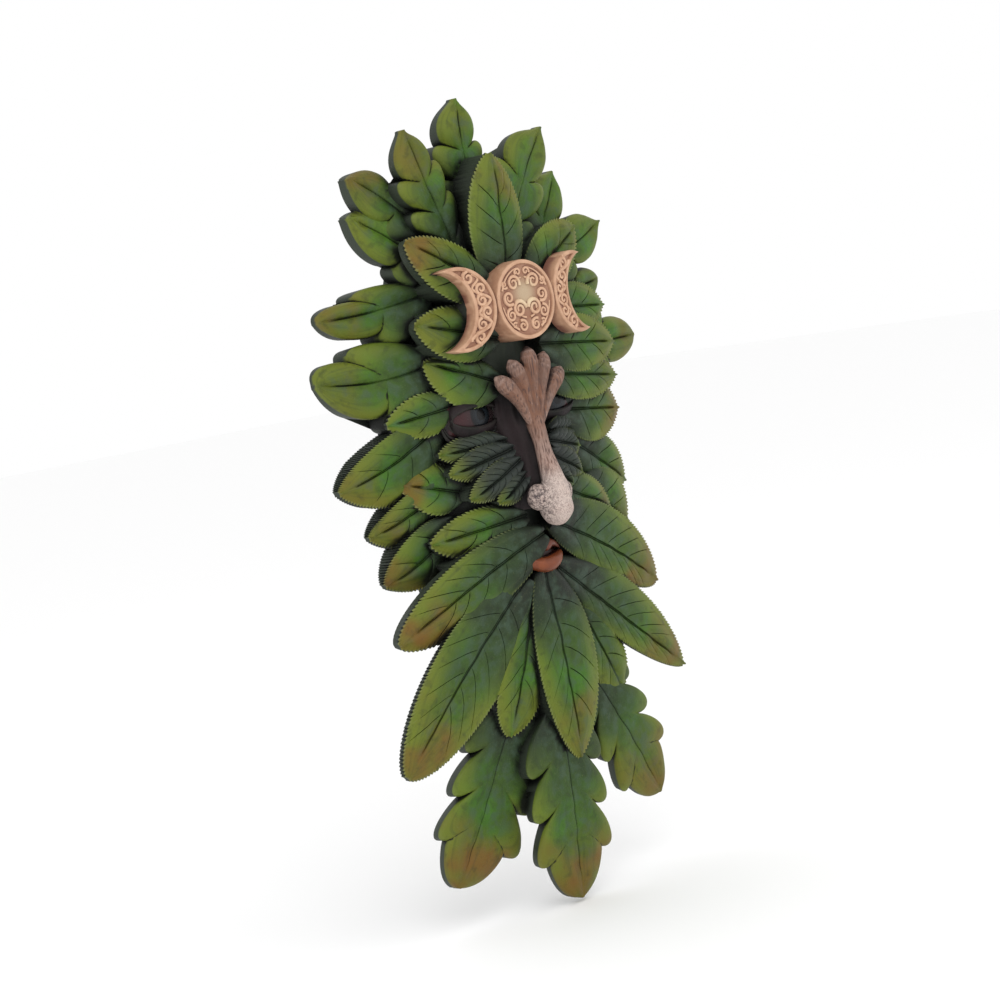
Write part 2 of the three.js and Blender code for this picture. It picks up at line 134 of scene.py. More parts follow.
# A closed shell from a grid: its front by one function of row and column, its wall by another in
# steps, and one face to close it behind. Both give a place and the paint there.
def carvedShell(rows, columns, front, wall, steps):
    bm = bmesh.new()
    rowLayer = bm.verts.layers.int.new("row")
    columnLayer = bm.verts.layers.int.new("column")
    bmesh.ops.create_grid(bm, x_segments=len(columns) - 1, y_segments=len(rows) - 1, size=1)
    paint = {}
    for v in bm.verts:
        v[columnLayer] = round((v.co.x + 1) / 2 * (len(columns) - 1))
        v[rowLayer] = round((v.co.y + 1) / 2 * (len(rows) - 1))
        v.co, paint[v] = front(rows[v[rowLayer]], columns[v[columnLayer]])
    rim = [e for e in bm.edges if e.is_boundary]
    for step in range(steps):
        grown = bmesh.ops.extrude_edge_only(bm, edges=rim)["geom"]
        for v in [part for part in grown if isinstance(part, bmesh.types.BMVert)]:
            v.co, paint[v] = wall(rows[v[rowLayer]], columns[v[columnLayer]], step)
        rim = [part for part in grown if isinstance(part, bmesh.types.BMEdge) and part.is_boundary]
    bmesh.ops.contextual_create(bm, geom=rim)
    bmesh.ops.recalc_face_normals(bm, faces=bm.faces)
    paintLoops(bm, paint)
    return bm


# The painter's guides go on the corners of the faces, where the union below keeps them.
guides = ("leafGuide", "tintGuide")
noTint = (0, 0, 0, 0)


def coat(along=0, across=0, line=0, shade=0, tint=noTint):
    return [(along, across, line, shade), tint]


def paintLoops(bm, paint):
    layers = [bm.loops.layers.float_color.new(name) for name in guides]
    for face in bm.faces:
        for loop in face.loops:
            for layer, values in zip(layers, paint[loop.vert]):
                loop[layer] = values


castings = bpy.data.collections.new("castings")
bpy.context.scene.collection.children.link(castings)


def asPart(bm, name, material, home=None):
    mesh = bpy.data.meshes.new(name)
    bm.to_mesh(mesh)
    bm.free()
    mesh.materials.append(bpy.data.materials.get(material) or bpy.data.materials.new(material))
    part = bpy.data.objects.new(name, mesh)
    (home or castings).objects.link(part)
    return part


def applied(part):
    # the part's mesh with its modifiers worked in
    bpy.context.view_layer.update()
    return bpy.data.meshes.new_from_object(part.evaluated_get(bpy.context.evaluated_depsgraph_get()))


# What any leaf has; each row of the tables below may change it for its own leaf. In mm or as shares: how the
# blade bows, leans, arches and tilts, its rib, the walls that draw in under it, and its paint.
anyLeaf = {
    "bow": 0, "lean": 0, "stagger": 0, "arch": 2, "tilt": 0, "leastHalf": 0.04, "rowSweep": 1.4, "rimFall": 1.8,
    "ribColumn": 0.1, "ribMost": 0.3, "ribTip": 0.35, "ribEnd": (0.82, 0.94), "unevenSize": 9,
    "roundFrom": 0.84, "roundWide": 0.16, "wallDraft": 0.93, "wallStep": 0.15, "thinning": 0.45, "flutes": 0.1,
    "haze": 0.5, "shade": 0.0,
}
# Toothed leaf: the rows of its blade sweep towards the tip, with fine saw teeth along the margin.
toothed = {
    **anyLeaf, "sweep": 0.95, "stalk": 0.05, "fullness": 0.72, "late": 1.0, "edge": 5, "swell": 1.2, "valley": 0.9,
    "uneven": 0.8, "quilt": 0.45, "quiltGap": 0.06, "round": 0, "tooth": 2.1, "toothOut": 0.75,
    "toothForward": 0.8, "saw": (0.0, 0.55, 1.0), "sawFrom": 0.95, "sawWide": 0.05, "sawEnds": (0.05, 0.97),
    "ribHalf": 1.15, "ribRaise": 0.4, "ribDepth": 0.55, "ribLine": 0.0, "veinDepth": 0.8, "veinGap": 18,
    "veinHalf": 0.6, "veinStart": 0.14, "veinSpan": 0.6, "veinShift": {-1: 0.55, 1: 0.15}, "veinStray": 0.12,
    "veinReach": (0.78, 0.95), "veinFoot": (0.09, 0.2), "veinFade": (0.12, 0.05),
    "columns": (0.25, 0.42, 0.6, 0.77, 0.9, 0.965, 1.0), "drops": (0.5, 1.4, 3.0), "bites": (1.0, 0.8),
}
# Oak leaf: pairs of round lobes with slits between, a long end lobe, and a shallow cut instead of a rib.
oak = {
    **anyLeaf, "pairs": 1, "endStart": 0.42, "sweep": 0.17, "notch": 0.31, "lobeFull": 0.78, "endWidth": 0.7,
    "endFull": 1.1, "point": 1.0, "edge": 11, "swell": 1.7, "valley": 0.7, "uneven": 1.0, "round": 1.2,
    "ribHalf": 1.4, "ribRaise": -0.5, "ribLine": 0.1, "rowGap": 1.3,
    "columns": (0.25, 0.4, 0.55, 0.69, 0.8, 0.88, 0.95, 1.0), "drops": (1.0,), "bites": (),
}
leafSamples = 400
fewestRows = 12
seedRange = 50


# An outline gives, for a share of the way up the blade, the places of its rib and its margin along the leaf,
# its half width and how plump it is there.
def toothedOutline(u, leaf):
    reach = u + leaf["sweep"] * u * (1 - u)
    grown = (leaf["stalk"] + (1 - leaf["stalk"]) * reach) ** leaf["late"]
    return u, reach, max(0.0, 4 * grown * (1 - grown)) ** leaf["fullness"], 1


def oakOutline(u, leaf):
    pairs, endStart, sweep, notch = leaf["pairs"], leaf["endStart"], leaf["sweep"], leaf["notch"]
    row = u * (pairs + 1)
    if row < pairs:
        phase = math.pi * (row % 1)
        plump = math.sin(phase)
        half = notch + (1 - notch) * plump ** leaf["lobeFull"]
        rounded = math.floor(row) + (1 - math.cos(phase)) / 2
        return endStart * row / pairs, endStart * rounded / pairs + sweep * half, half, plump
    end = min(1.0, row - pairs)
    half = notch * (1 - end) ** 2 + leaf["endWidth"] * math.sin(math.pi * end ** 0.9) ** leaf["endFull"]
    rounded = blend((1 - math.cos(math.pi * end)) / 2, end, end * leaf["point"])
    start = endStart + sweep * notch
    return blend(endStart, 1, end), blend(start, 1, rounded), half, min(1.0, 3 * end * (1 - end) + end)


def leafSkeleton(leaf):
    start, tip = Vector(leaf["start"]), Vector(leaf["tip"])
    along = Vector((tip.x - start.x, tip.y - start.y)).normalized()
    left = Vector((-along.y, along.x))
    swing = Vector((left.x * leaf["bow"], left.y * leaf["bow"], leaf["arch"]))
    bend = (start + tip) / 2 + 2 * swing

    def spine(t):
        t = min(1.0, t)
        return start * (1 - t) ** 2 + bend * (2 * t * (1 - t)) + tip * t ** 2
    return spine, along, left, (tip - start).length


def evenRows(lie, spine, left, gap):
    # rows at even steps along the margin, three to a tooth
    margin, travelled = [], 0.0
    for i in range(leafSamples + 1):
        t, aside, half, plump = lie(i / leafSamples, 1)
        place = spine(t)
        here = Vector((place.x + left.x * aside, place.y + left.y * aside))
        travelled += (here - margin[-1][1]).length if margin else 0
        margin.append((travelled, here))
    count = max(fewestRows, round(travelled / gap / 3) * 3)
    rows, k = [], 0
    for i in range(count + 1):
        while k < leafSamples - 1 and margin[k + 1][0] < travelled * i / count:
            k += 1
        span = margin[k + 1][0] - margin[k][0]
        rows.append(k / leafSamples + (travelled * i / count - margin[k][0]) / max(span, 1e-6) / leafSamples)
    rows = [min(1.0, max(0.0, u)) for u in rows]
    rows[0], rows[-1] = 0.0, 1.0
    return rows


def addVeins(leaf, length, rows, toothAt):
    # each side vein has a row of its own on its half, with a near row on both sides to keep it thin
    veins = {}
    number = max(2, round(length / leaf["veinGap"]))
    gap = leaf["veinHalf"] / length
    for half, shift in leaf["veinShift"].items():
        for n in range(number):
            stray = random.uniform(-leaf["veinStray"], leaf["veinStray"])
            place = leaf["veinStart"] + leaf["veinSpan"] * (n + shift + stray) / number
            veins[place] = (half, random.uniform(*leaf["veinReach"]))
            for near in (place - gap, place, place + gap):
                rows.append(near)
                toothAt[near] = None
    rows.sort()
    for i, u in enumerate(rows):  # a row between two keeps the tooth between theirs
        if toothAt[u] is None:
            toothAt[u] = toothAt[rows[i - 1]]
    return veins


def growLeaf(name, kind, start, tip, width, tone, rust, **more):
    leaf = {**kind, **more, "start": start, "tip": tip}
    isToothed = kind is toothed
    outline = toothedOutline if isToothed else oakOutline
    spine, along, left, length = leafSkeleton(leaf)
    seed = random.uniform(0, seedRange)
    ribColumn = leaf["ribColumn"]  # columns nearer the middle belong to the rib, which has its own width

    def lie(u, v):
        rib, reach, share, plump = outline(u, leaf)
        half = max(leaf["leastHalf"], share)
        across = abs(v)
        margin = reach + leaf["stagger"] * v * 4 * u * (1 - u)
        t = min(1.0, blend(rib, margin, across ** leaf["rowSweep"]))
        full = width / 2 * half * (1 + math.copysign(leaf["lean"], v))
        ribWide = min(leaf["ribMost"] * full, leaf["ribHalf"] * blend(1.0, leaf["ribTip"], t))
        if across < ribColumn:
            aside = ribWide * across / ribColumn
        else:
            aside = blend(ribWide, full, (across - ribColumn) / (1 - ribColumn))
        return t, math.copysign(aside, v), half, plump

    rows = evenRows(lie, spine, left, leaf["tooth"] / 3 if isToothed else leaf["rowGap"])
    toothAt = {u: i for i, u in enumerate(rows)}
    veins = addVeins(leaf, length, rows, toothAt) if isToothed else {}
    halfColumns = [0, ribColumn / 2, ribColumn, *leaf["columns"]]
    columns = halfColumns[::-1] + [-a for a in halfColumns[1:]]

    def shape(u, v, grow=1.0, teeth=1.0):
        t, aside, half, plump = lie(u, v)
        across = abs(v)
        place = spine(t)
        x, z = place.x + left.x * aside * grow, place.y + left.y * aside * grow
        if isToothed and across > leaf["sawFrom"]:
            low, high = leaf["sawEnds"]
            bite = leaf["saw"][toothAt[u] % 3] * smooth(0, low, u) * (1 - smooth(high, 1, u))
            bite = bite * teeth * (across - leaf["sawFrom"]) / leaf["sawWide"]
            out = math.copysign(bite * leaf["toothOut"], v)
            x += left.x * out + along.x * bite * leaf["toothForward"]
            z += left.y * out + along.y * bite * leaf["toothForward"]
        height = place.z + leaf["tilt"] * aside - leaf["rimFall"] * across ** 3
        return x, z, height, t, half, plump

    def guide(t, across, dark):
        return coat(t, across, dark, leaf["shade"], (tone, rust, leaf["haze"], seed / seedRange))

    def front(u, v):
        x, z, height, t, half, plump = shape(u, v)
        across = abs(v)
        swell = leaf["swell"] * 4 * across * (1 - across) * plump
        height += (swell - leaf["valley"] * (1 - min(1.0, across * 2))) * min(1.0, 2 * half)
        height += leaf["uneven"] * wander(x, z, leaf["unevenSize"], seed) * (1 - across ** 4)
        there = (1 - smooth(*leaf["ribEnd"], t)) * smooth(0, 0.2, half)
        dark = 0.0
        if v == 0:
            height += leaf["ribRaise"] * there
            dark = leaf["ribLine"] * there
        elif across < ribColumn and isToothed:
            height -= leaf["ribDepth"] * there
            dark = there
        if isToothed:
            nearest = 1.0
            for place, (hand, far) in veins.items():
                if hand * v > 0:
                    nearest = min(nearest, abs(u - place))
                    if u == place:
                        fade = 1 - smooth(far - leaf["veinFade"][0], far + leaf["veinFade"][1], across)
                        cut = smooth(*leaf["veinFoot"], across) * fade
                        height -= leaf["veinDepth"] * cut
                        dark = max(dark, cut)
            puff = smooth(0, leaf["quiltGap"], nearest) * 4 * across * (1 - across)
            height += leaf["quilt"] * puff * there * (across >= ribColumn)
        edge = max(0.0, (across - leaf["roundFrom"]) / leaf["roundWide"])
        height -= leaf["round"] * (1 - math.sqrt(max(0.0, 1 - edge ** 2)))
        return spot(x, z, height), guide(t, across, dark)

    def wall(u, v, step):
        last = step == len(leaf["drops"])
        grow = leaf["wallDraft"] if last else blend(1, leaf["wallDraft"], leaf["wallStep"] * step)
        teeth = leaf["bites"][step] if step < len(leaf["bites"]) else leaf["flutes"]
        x, z, height, t, half, plump = shape(u, v, grow, teeth)
        height -= leaf["round"]
        if last:
            thinned = leaf["edge"] * (1 - leaf["thinning"] * u ** 2)
            height = min(height - thinned, bodyFace(x, z) - body["sink"])
        else:
            height -= leaf["drops"][step]
        # the guide across runs on down the wall, from 1 at the margin to 2 at its foot
        return spot(x, z, height), guide(t, 2.0 if last else 1.0 + 0.3 * (step + 1), 0.0)

    asPart(carvedShell(rows, columns, front, wall, len(leaf["drops"]) + 1), name, "airbrushedAcrylicGreen")


random.seed(11)
brow = {"edge": 8}
side = {"edge": 14, "flutes": 0.7}
tallOak = {"edge": 14, "thinning": 0.8, "pairs": 2, "endStart": 0.56, "sweep": 0.14, "endWidth": 0.62}
threePairs = {"pairs": 3, "endStart": 0.64}
blunt = {"point": 0.55}
club = {
    **side, "swell": 2.6, "point": 0.3, "notch": 0.24, "sweep": 0.24,
    "endFull": 0.8, "endStart": 0.5, "endWidth": 0.54,
}
beardOak = {
    "edge": 7, "pairs": 3, "endStart": 0.66, "sweep": 0.2, "notch": 0.56, "lobeFull": 1.25, "endWidth": 0.44,
    "endFull": 0.7, "point": 0.45, "swell": 0.8, "ribLine": 0.9,
}
broad = {"fullness": 0.6}
fluted = {"tooth": 1.8, "flutes": 0.7}
ovate = {"late": 1.9}
underEye = {"veinGap": 6, "tooth": 1.4, "haze": 0.6, "shade": 1.0}

# each leaf: stalk end, tip, width, tone (0 blue green to 1 yellow green), rust at its tip, then its own shape
crownLeaves = [
    ((1, 136, 24), (-1, 194, 31), 32, 1.0, 0.1, {**tallOak, "lean": -0.1}),
    ((-14, 112, 33), (-40, 181, 34), 30, 0.4, 0.7, {**tallOak, **threePairs, "lean": -0.05, "bow": 2}),
    ((9, 112, 37), (48, 176, 36), 37, 0.8, 0.2, {**tallOak, "lean": 0.1, "bow": 4}),
    ((-30, 133, 28), (-63, 163, 17), 28, 0.3, 0.9, {**blunt, "stagger": -0.07}),
    ((36, 112, 28), (66, 155, 22), 30, 0.7, 0.1, {}),
    ((-26, 112, 30), (-66, 145, 16), 30, 0.9, 0.1, {**blunt, "stagger": -0.07}),
    ((28, 104, 36), (86, 127, 29), 30, 0.7, 0.2, {}),
    ((-30, 106, 28), (-87, 99, 7), 30, 0.5, 0.8, {**club, "lean": -0.25, "bow": 2, "stagger": -0.06}),
    ((32, 90, 36), (86, 99, 21), 28, 0.7, 0.3, club),
    ((-34, 73, 28), (-93.6, 70, 6), 46, 0.6, 0.4, {**club, "lean": 0.2, "bow": 4, "stagger": -0.1}),
    ((38, 66, 32), (112, 67, 16), 38, 0.8, 0.6, club),
]
faceLeaves = [
    ((0, 100, 44), (0, 165, 48), 34, 0.6, 1.0, {**brow, "lean": -0.16, "wallDraft": 0.6}),
    ((-10, 99, 46), (-52, 129, 37), 26, 0.5, 0.9, {**brow, "lean": 0.12}),
    ((13, 102, 46), (57, 126, 40), 27, 0.5, 0.7, brow),
    ((-12, 78, 45), (-52, 90, 34), 26, 0.9, 0.3, {**brow, "lean": 0.07}),
    ((24, 88, 42), (78, 85, 31), 24, 0.5, 0.1, brow),
    ((-11, 56, 42), (-46, 72, 29), 25, 0.5, 0.1, {**brow, "lean": 0.3}),
    ((14, 72, 45), (76, 66, 36), 28, 0.5, 0.3, brow),
    ((15, 57, 43), (78, 49, 32), 24, 0.4, 0.3, brow),
    ((-34, 50, 33), (-67, 46, 20), 20, 0.2, 0.0, {}),
    ((30, 38, 36), (84, 32, 24), 32, 0.5, 0.9, brow),
    ((-40, 44, 27), (-91, 19, 6), 33, 0.9, 0.5, {**side, "tilt": -0.12, "bow": 3, "lean": -0.23, "tooth": 1.6}),
    ((42, 20, 30), (95, -7, 10), 26, 0.8, 0.4, {**side, "tilt": 0.1}),
    ((-40, 18, 25), (-77, -5, 5), 26, 0.5, 0.8, {**side, "tilt": -0.15, "bow": 3, "lean": -0.3, "tooth": 1.6}),
    ((44, -2, 27), (92, -28, 10), 28, 0.8, 0.5, {**side, "tilt": 0.1, "lean": 0.2}),
    ((-34, 8, 28), (-62, 17, 17), 24, 0.7, 0.9, {}),
    ((-40, -4, 23), (-72, -29, 5), 28, 0.6, 1.0, {**side, "tilt": -0.1, "bow": 3, "tooth": 1.6}),
    ((40, -12, 25), (74, -44, 8), 26, 0.8, 0.5, {**side, "tilt": 0.1}),
]
beardLeaves = [
    ((-9, -8, 41), (-56, -13, 24), 23, 0.5, 0.2, {"lean": -0.12}),
    ((14, 2, 42), (65, -17, 26), 22, 0.5, 0.8, {}),
    ((-2, -18, 44), (-82, -56, 20), 31, 0.7, 1.0, {**brow, **broad, "bow": -2, "lean": -0.08}),
    ((4, -13, 44), (94, -60, 22), 33, 0.4, 1.0, {**brow, **broad, "bow": 2, "lean": 0.2}),
    ((-6, -38, 37), (-30, -112, 27), 29, 0.6, 0.1, {**ovate, "lean": 0.12}),
    ((16, -50, 35), (54, -110, 24), 25, 0.5, 0.1, {**ovate, "lean": -0.15}),
    ((-11, -38, 37), (-91, -117, 20), 42, 1.0, 1.0, {**broad, **fluted, "bow": -4, "lean": 0.12}),
    ((8, -36, 39), (105, -107, 21), 29, 0.6, 0.9, {"bow": -1, "lean": -0.3}),
    ((-2, -36, 40), (9, -132, 33), 39, 0.4, 1.0, {"lean": 0.15}),
]
beardOaks = [
    ((-19, -92, 25), (-63, -179, 9), 54, 0.7, 1.0, {**beardOak, "lean": 0.2}),
    ((24, -84, 28), (77, -168, 17), 44, 0.6, 0.9, {**beardOak, "lean": -0.05}),
    ((2, -100, 30), (0, -201, 27), 52, 0.4, 1.0, beardOak),
]
underEyeLeaves = [
    ((15, 29, 42), (46, 28, 29), 14, 0.5, 0.1, underEye),
    ((12, 25, 43), (44, 18, 32), 15, 0.6, 0.2, underEye),
    ((10, 19, 44), (38, 5, 37), 15, 0.6, 0.1, underEye),
    ((7, 12, 44), (25, 1, 42), 12, 0.4, 0.1, underEye),
]
underEyeLeaves += [(*[(-x, z, h) for x, z, h in row[:2]], *row[2:]) for row in underEyeLeaves]
for name, kind, rows in (
    ("crownLeaf", oak, crownLeaves), ("faceLeaf", toothed, faceLeaves), ("beardLeaf", toothed, beardLeaves),
    ("beardOak", oak, beardOaks), ("eyeLeaf", toothed, underEyeLeaves),
):
    for i, (start, tip, width, tone, rust, more) in enumerate(rows):
        growLeaf(f"{name}{i}", kind, start, tip, width, tone, rust, **more)


def newForm():
    bm = bmesh.new()
    bm.verts.layers.int.new("index")
    return bm, {}


# A closed form from rings of places, each grown from the one before, with the paint of each ring.
def ringForm(bm, paint, rings, coats):
    index = bm.verts.layers.int["index"]
    verts = bmesh.ops.create_circle(bm, segments=len(rings[0]), radius=mm)["verts"]
    for i, v in enumerate(verts):
        v[index] = i
        v.co, paint[v] = rings[0][i], coats[0]
    edges = list({e for v in verts for e in v.link_edges})
    bmesh.ops.contextual_create(bm, geom=edges)
    for ring, guide in zip(rings[1:], coats[1:]):
        grown = bmesh.ops.extrude_edge_only(bm, edges=edges)["geom"]
        for v in [part for part in grown if isinstance(part, bmesh.types.BMVert)]:
            v.co, paint[v] = ring[v[index]], guide
        edges = [part for part in grown if isinstance(part, bmesh.types.BMEdge) and part.is_boundary]
    bmesh.ops.contextual_create(bm, geom=edges)


def sweepBar(bm, paint, path, radii, sides, squash=1.0, mark=0):
    # a bar along places in metres, radii in mm, squash its thickness off the wall
    rings = []
    for i, place in enumerate(path):
        ahead = (path[min(i + 1, len(path) - 1)] - path[max(i - 1, 0)]).normalized()
        across = ahead.cross(Vector((0, -1, 0))).normalized()
        outward = across.cross(ahead).normalized()
        turn = [2 * math.pi * k / sides for k in range(sides)]
        rings.append([
            place + (across * math.cos(a) + outward * math.sin(a) * squash) * radii[i] * mm for a in turn
        ])
    ringForm(bm, paint, rings, [coat(i / (len(path) - 1), mark) for i in range(len(path))])


def closeUp(bm, paint, name, material):
    bmesh.ops.recalc_face_normals(bm, faces=bm.faces)
    paintLoops(bm, paint)
    asPart(bm, name, material)


def eggForm(bm, paint, x, z, h, halfX, halfZ, halfH, u=28, v=18, line=0):
    place = Matrix.Translation(spot(x, z, h)) @ Matrix.Diagonal((halfX * mm, halfH * mm, halfZ * mm, 1))
    for vert in bmesh.ops.create_uvsphere(bm, u_segments=u, v_segments=v, radius=1, matrix=place)["verts"]:
        paint[vert] = coat(line=line)


# The eyes: a ball with its iris, two lids that pass each other at the corners, and fine folds under them.
eye = {
    "aside": 26, "up": 43, "back": 26, "ball": (18, 13, 12), "ballGrid": (48, 32), "iris": 6.0, "look": (1.0, 0.6),
    "openUp": (5.5, 8), "openAside": (14, 16), "redReach": 30, "halfLength": 15, "halfOpen": 4.5, "corner": 0.4,
    "lid": 6, "lidStand": 1.8, "lidPuff": 0.5, "lidEdge": 0.6, "lidCross": 0.8, "lidFoot": 4, "lidLine": 0.3,
    "folds": [(8.6, 15.5, 1.1), (11.2, 17, 1.2), (13.8, 18, 1.2)], "foldSteps": 24, "foldSlant": 1.5,
    "foldSink": 0.2, "foldLeast": 0.25,
}


def eyeHeight(x, z):
    fall = 1 - (x / eye["ball"][0]) ** 2 - (z / eye["ball"][1]) ** 2
    return eye["back"] + eye["ball"][2] * math.sqrt(max(0.1, fall))


def makeEyeBall(hand):
    bm, paint = newForm()
    eggForm(bm, paint, hand * eye["aside"], eye["up"], eye["back"], *eye["ball"], *eye["ballGrid"])
    for v in bm.verts:
        aside, up = v.co.x / mm - hand * eye["aside"], v.co.z / mm - eye["up"]
        fromIris = math.hypot(aside - eye["look"][0], up - eye["look"][1]) / eye["iris"]
        red = 0.5 + hand * (aside - eye["look"][0]) / eye["redReach"]
        paint[v] = coat(fromIris, red, smooth(*eye["openUp"], abs(up)) + smooth(*eye["openAside"], abs(aside)))
    closeUp(bm, paint, "eyeBall" + "lr"[hand > 0], "glossBlackAcrylic")


def makeLid(hand, upward):
    def front(u, v):
        opened = math.sin(math.pi * u)
        x = -upward * eye["halfLength"] * math.cos(math.pi * u)
        inner = eye["halfOpen"] * opened - eye["lidCross"] * (1 - opened)
        outward = (v + 1) / 2 * blend(eye["corner"], 1, opened)
        z = upward * (inner + eye["lid"] * outward)
        stand = eye["lidStand"] + eye["lidPuff"] * (1 - v * v) - eye["lidEdge"] * smooth(0.7, 1, abs(v))
        place = spot(hand * eye["aside"] + x, eye["up"] + z, eyeHeight(x, z) + stand)
        return place, coat(u, outward, eye["lidLine"])

    def wall(u, v, step):
        place, guide = front(u, v)
        return Vector((place.x, -(eye["back"] - eye["lidFoot"]) * mm, place.z)), guide
    rows = [i / 28 for i in range(29)]
    columns = [1 - i / 4 for i in range(9)]
    asPart(carvedShell(rows, columns, front, wall, 1), "eyeLid", "charcoalAcrylicWash")


def makeFolds(hand):
    bm, paint = newForm()
    steps = eye["foldSteps"]
    for offset, half, thick in eye["folds"]:
        path, radii = [], []
        for i in range(steps + 1):
            turn = math.pi * i / steps
            x = -half * math.cos(turn) * hand
            z = -offset * math.sin(turn) ** 0.7 + eye["foldSlant"] * (i / steps - 0.5)
            under = max(eyeHeight(x, z), bodyFace(hand * eye["aside"] + x, eye["up"] + z))
            path.append(spot(hand * eye["aside"] + x, eye["up"] + z, under - eye["foldSink"]))
            radii.append(max(eye["foldLeast"], thick * math.sin(turn) ** 0.5))
        sweepBar(bm, paint, path, radii, 8)
    closeUp(bm, paint, "eyeFolds", "charcoalAcrylicWash")


for hand in (-1, 1):
    makeEyeBall(hand)
    for upward in (1, -1):
        makeLid(hand, upward)
    makeFolds(hand)

# The nose is a branch: a knob below between the nostrils, a narrow bridge, and five fingers that fan from a fork.
branch = {
    "bridge": [
        (1.6, -5, 51.6, 7.6), (1.8, 0, 52, 7.2), (1.6, 5, 51.8, 6.5), (1.2, 10, 51.3, 5.5), (0.8, 15, 50.6, 4.8),
        (0.3, 20, 50, 4.2), (0, 25, 49.6, 3.9), (-0.3, 30, 49, 4.2), (-0.4, 35, 47.8, 4.6), (-0.5, 40, 46.6, 4.2),
        (-0.5, 46, 45.2, 3.0),
    ],
    "fork": (-0.5, 31, 48.6), "fingers": [(-21, 60, 47), (-11, 67, 48), (1, 72, 49), (12, 68, 49), (24, 59, 47)],
    "fingerRadii": [1.8, 2.1, 2.5, 3.0, 3.8, 4.5, 4.3], "fingerSteps": 16, "fingerArch": 1.6, "fingerBend": 0.22,
    "fingerEnd": 0.2, "knob": ((1.5, -6, 51.2), (8.3, 9.3, 8.3)), "nostrils": [(-6.3, 0, 48.6), (8, 0.4, 48.2)],
    "nostrilHalf": 6.4, "nostrilAside": (2, 9), "nostrilUp": (6, 22), "voxel": 0.5, "smoothings": 3,
    "lump": 0.5, "lumpSize": 5, "lumpUp": (2, 14), "top": 72,
}


def fingerLine(end):
    path, radii = [], []
    sizes = branch["fingerRadii"]
    for i in range(branch["fingerSteps"] + 1):
        t = i / branch["fingerSteps"]
        place = Vector(branch["fork"]).lerp(Vector(end), t)
        place.z += branch["fingerArch"] * math.sin(math.pi * t) * t
        place.x *= 1 - branch["fingerBend"] * math.sin(math.pi * t)
        k = min(len(sizes) - 2, int(t * (len(sizes) - 1)))
        r = blend(sizes[k], sizes[k + 1], t * (len(sizes) - 1) - k)
        past = max(0.0, (t - 1 + branch["fingerEnd"]) / branch["fingerEnd"])
        radii.append(r * math.sqrt(max(0.02, 1 - past ** 2)))
        path.append(spot(place.x, place.y, place.z))
    return path, radii


def makeBranch():
    bm, paint = newForm()
    bridge = branch["bridge"]
    sweepBar(bm, paint, [spot(*place[:3]) for place in bridge], [place[3] for place in bridge], 24)
    for end in branch["fingers"]:
        sweepBar(bm, paint, *fingerLine(end), 16)
    eggForm(bm, paint, *branch["knob"][0], *branch["knob"][1])
    for place in branch["nostrils"]:
        eggForm(bm, paint, *place, *[branch["nostrilHalf"]] * 3)
    bmesh.ops.recalc_face_normals(bm, faces=bm.faces)
    rough = asPart(bm, "roughBranch", "dryBrushedBarkAcrylic", bpy.context.scene.collection)
    melt = rough.modifiers.new("melt", "REMESH")
    melt.mode, melt.voxel_size = "VOXEL", branch["voxel"] * mm
    bm = bmesh.new()
    bm.from_mesh(applied(rough))
    bpy.data.objects.remove(rough)
    for _ in range(branch["smoothings"]):
        bmesh.ops.smooth_vert(bm, verts=bm.verts, factor=0.5, use_axis_x=True, use_axis_y=True, use_axis_z=True)
    paint = {}
    for v in bm.verts:
        z = v.co.z / mm
        lowDown = 1 - smooth(*branch["lumpUp"], z)
        lump = branch["lump"] * wander(v.co.x / mm, z, branch["lumpSize"], 3.0) * lowDown
        v.co += v.normal * lump * mm
        # low on the knob's sides the dark mottling thickens: real mottling, partly painted shade
        nostril = smooth(*branch["nostrilAside"], abs(v.co.x / mm - 1)) * (1 - smooth(*branch["nostrilUp"], z))
        paint[v] = coat(z / branch["top"], line=nostril)
    closeUp(bm, paint, "noseBranch", "dryBrushedBarkAcrylic")


makeBranch()

# The flanks of the nose slope from the brow down to the nostrils.
flank = {
    "top": 53, "bottom": -5, "halfTop": 15, "halfBottom": 19, "ridgeTop": 46, "ridgeBottom": 49, "fall": 14,
    "back": 20, "flare": 1.02, "folds": 3.0, "foldDepth": 0.7, "foldFrom": (0.25, 0.5), "foldWander": 0.6,
    "foldSize": 18, "uneven": 0.6, "unevenSize": 6, "length": 50,
}


def makeFlank():
    def front(u, v):
        half = blend(flank["halfTop"], flank["halfBottom"], u)
        ridge = blend(flank["ridgeTop"], flank["ridgeBottom"], u)
        down = u * flank["length"]
        wave = flank["folds"] * abs(v) + flank["foldWander"] * wander(3, down, flank["foldSize"], 2.0)
        fold = flank["foldDepth"] * math.sin(2 * math.pi * wave)
        height = ridge - flank["fall"] * abs(v) ** 1.5 + fold * smooth(*flank["foldFrom"], abs(v))
        height += flank["uneven"] * wander(half * v * 2, down, flank["unevenSize"], 9.0)
        place = spot(half * v, blend(flank["top"], flank["bottom"], u), height)
        return place, coat(u, abs(v), tint=(1, 0, 0, 0))

    def wall(u, v, step):
        place, guide = front(u, v)
        return Vector((place.x * flank["flare"], -flank["back"] * mm, place.z)), guide
    rows = [i / 50 for i in range(51)]
    columns = [1 - i / 20 for i in range(41)]
    asPart(carvedShell(rows, columns, front, wall, 1), "noseFlank", "charcoalAcrylicWash")


makeFlank()

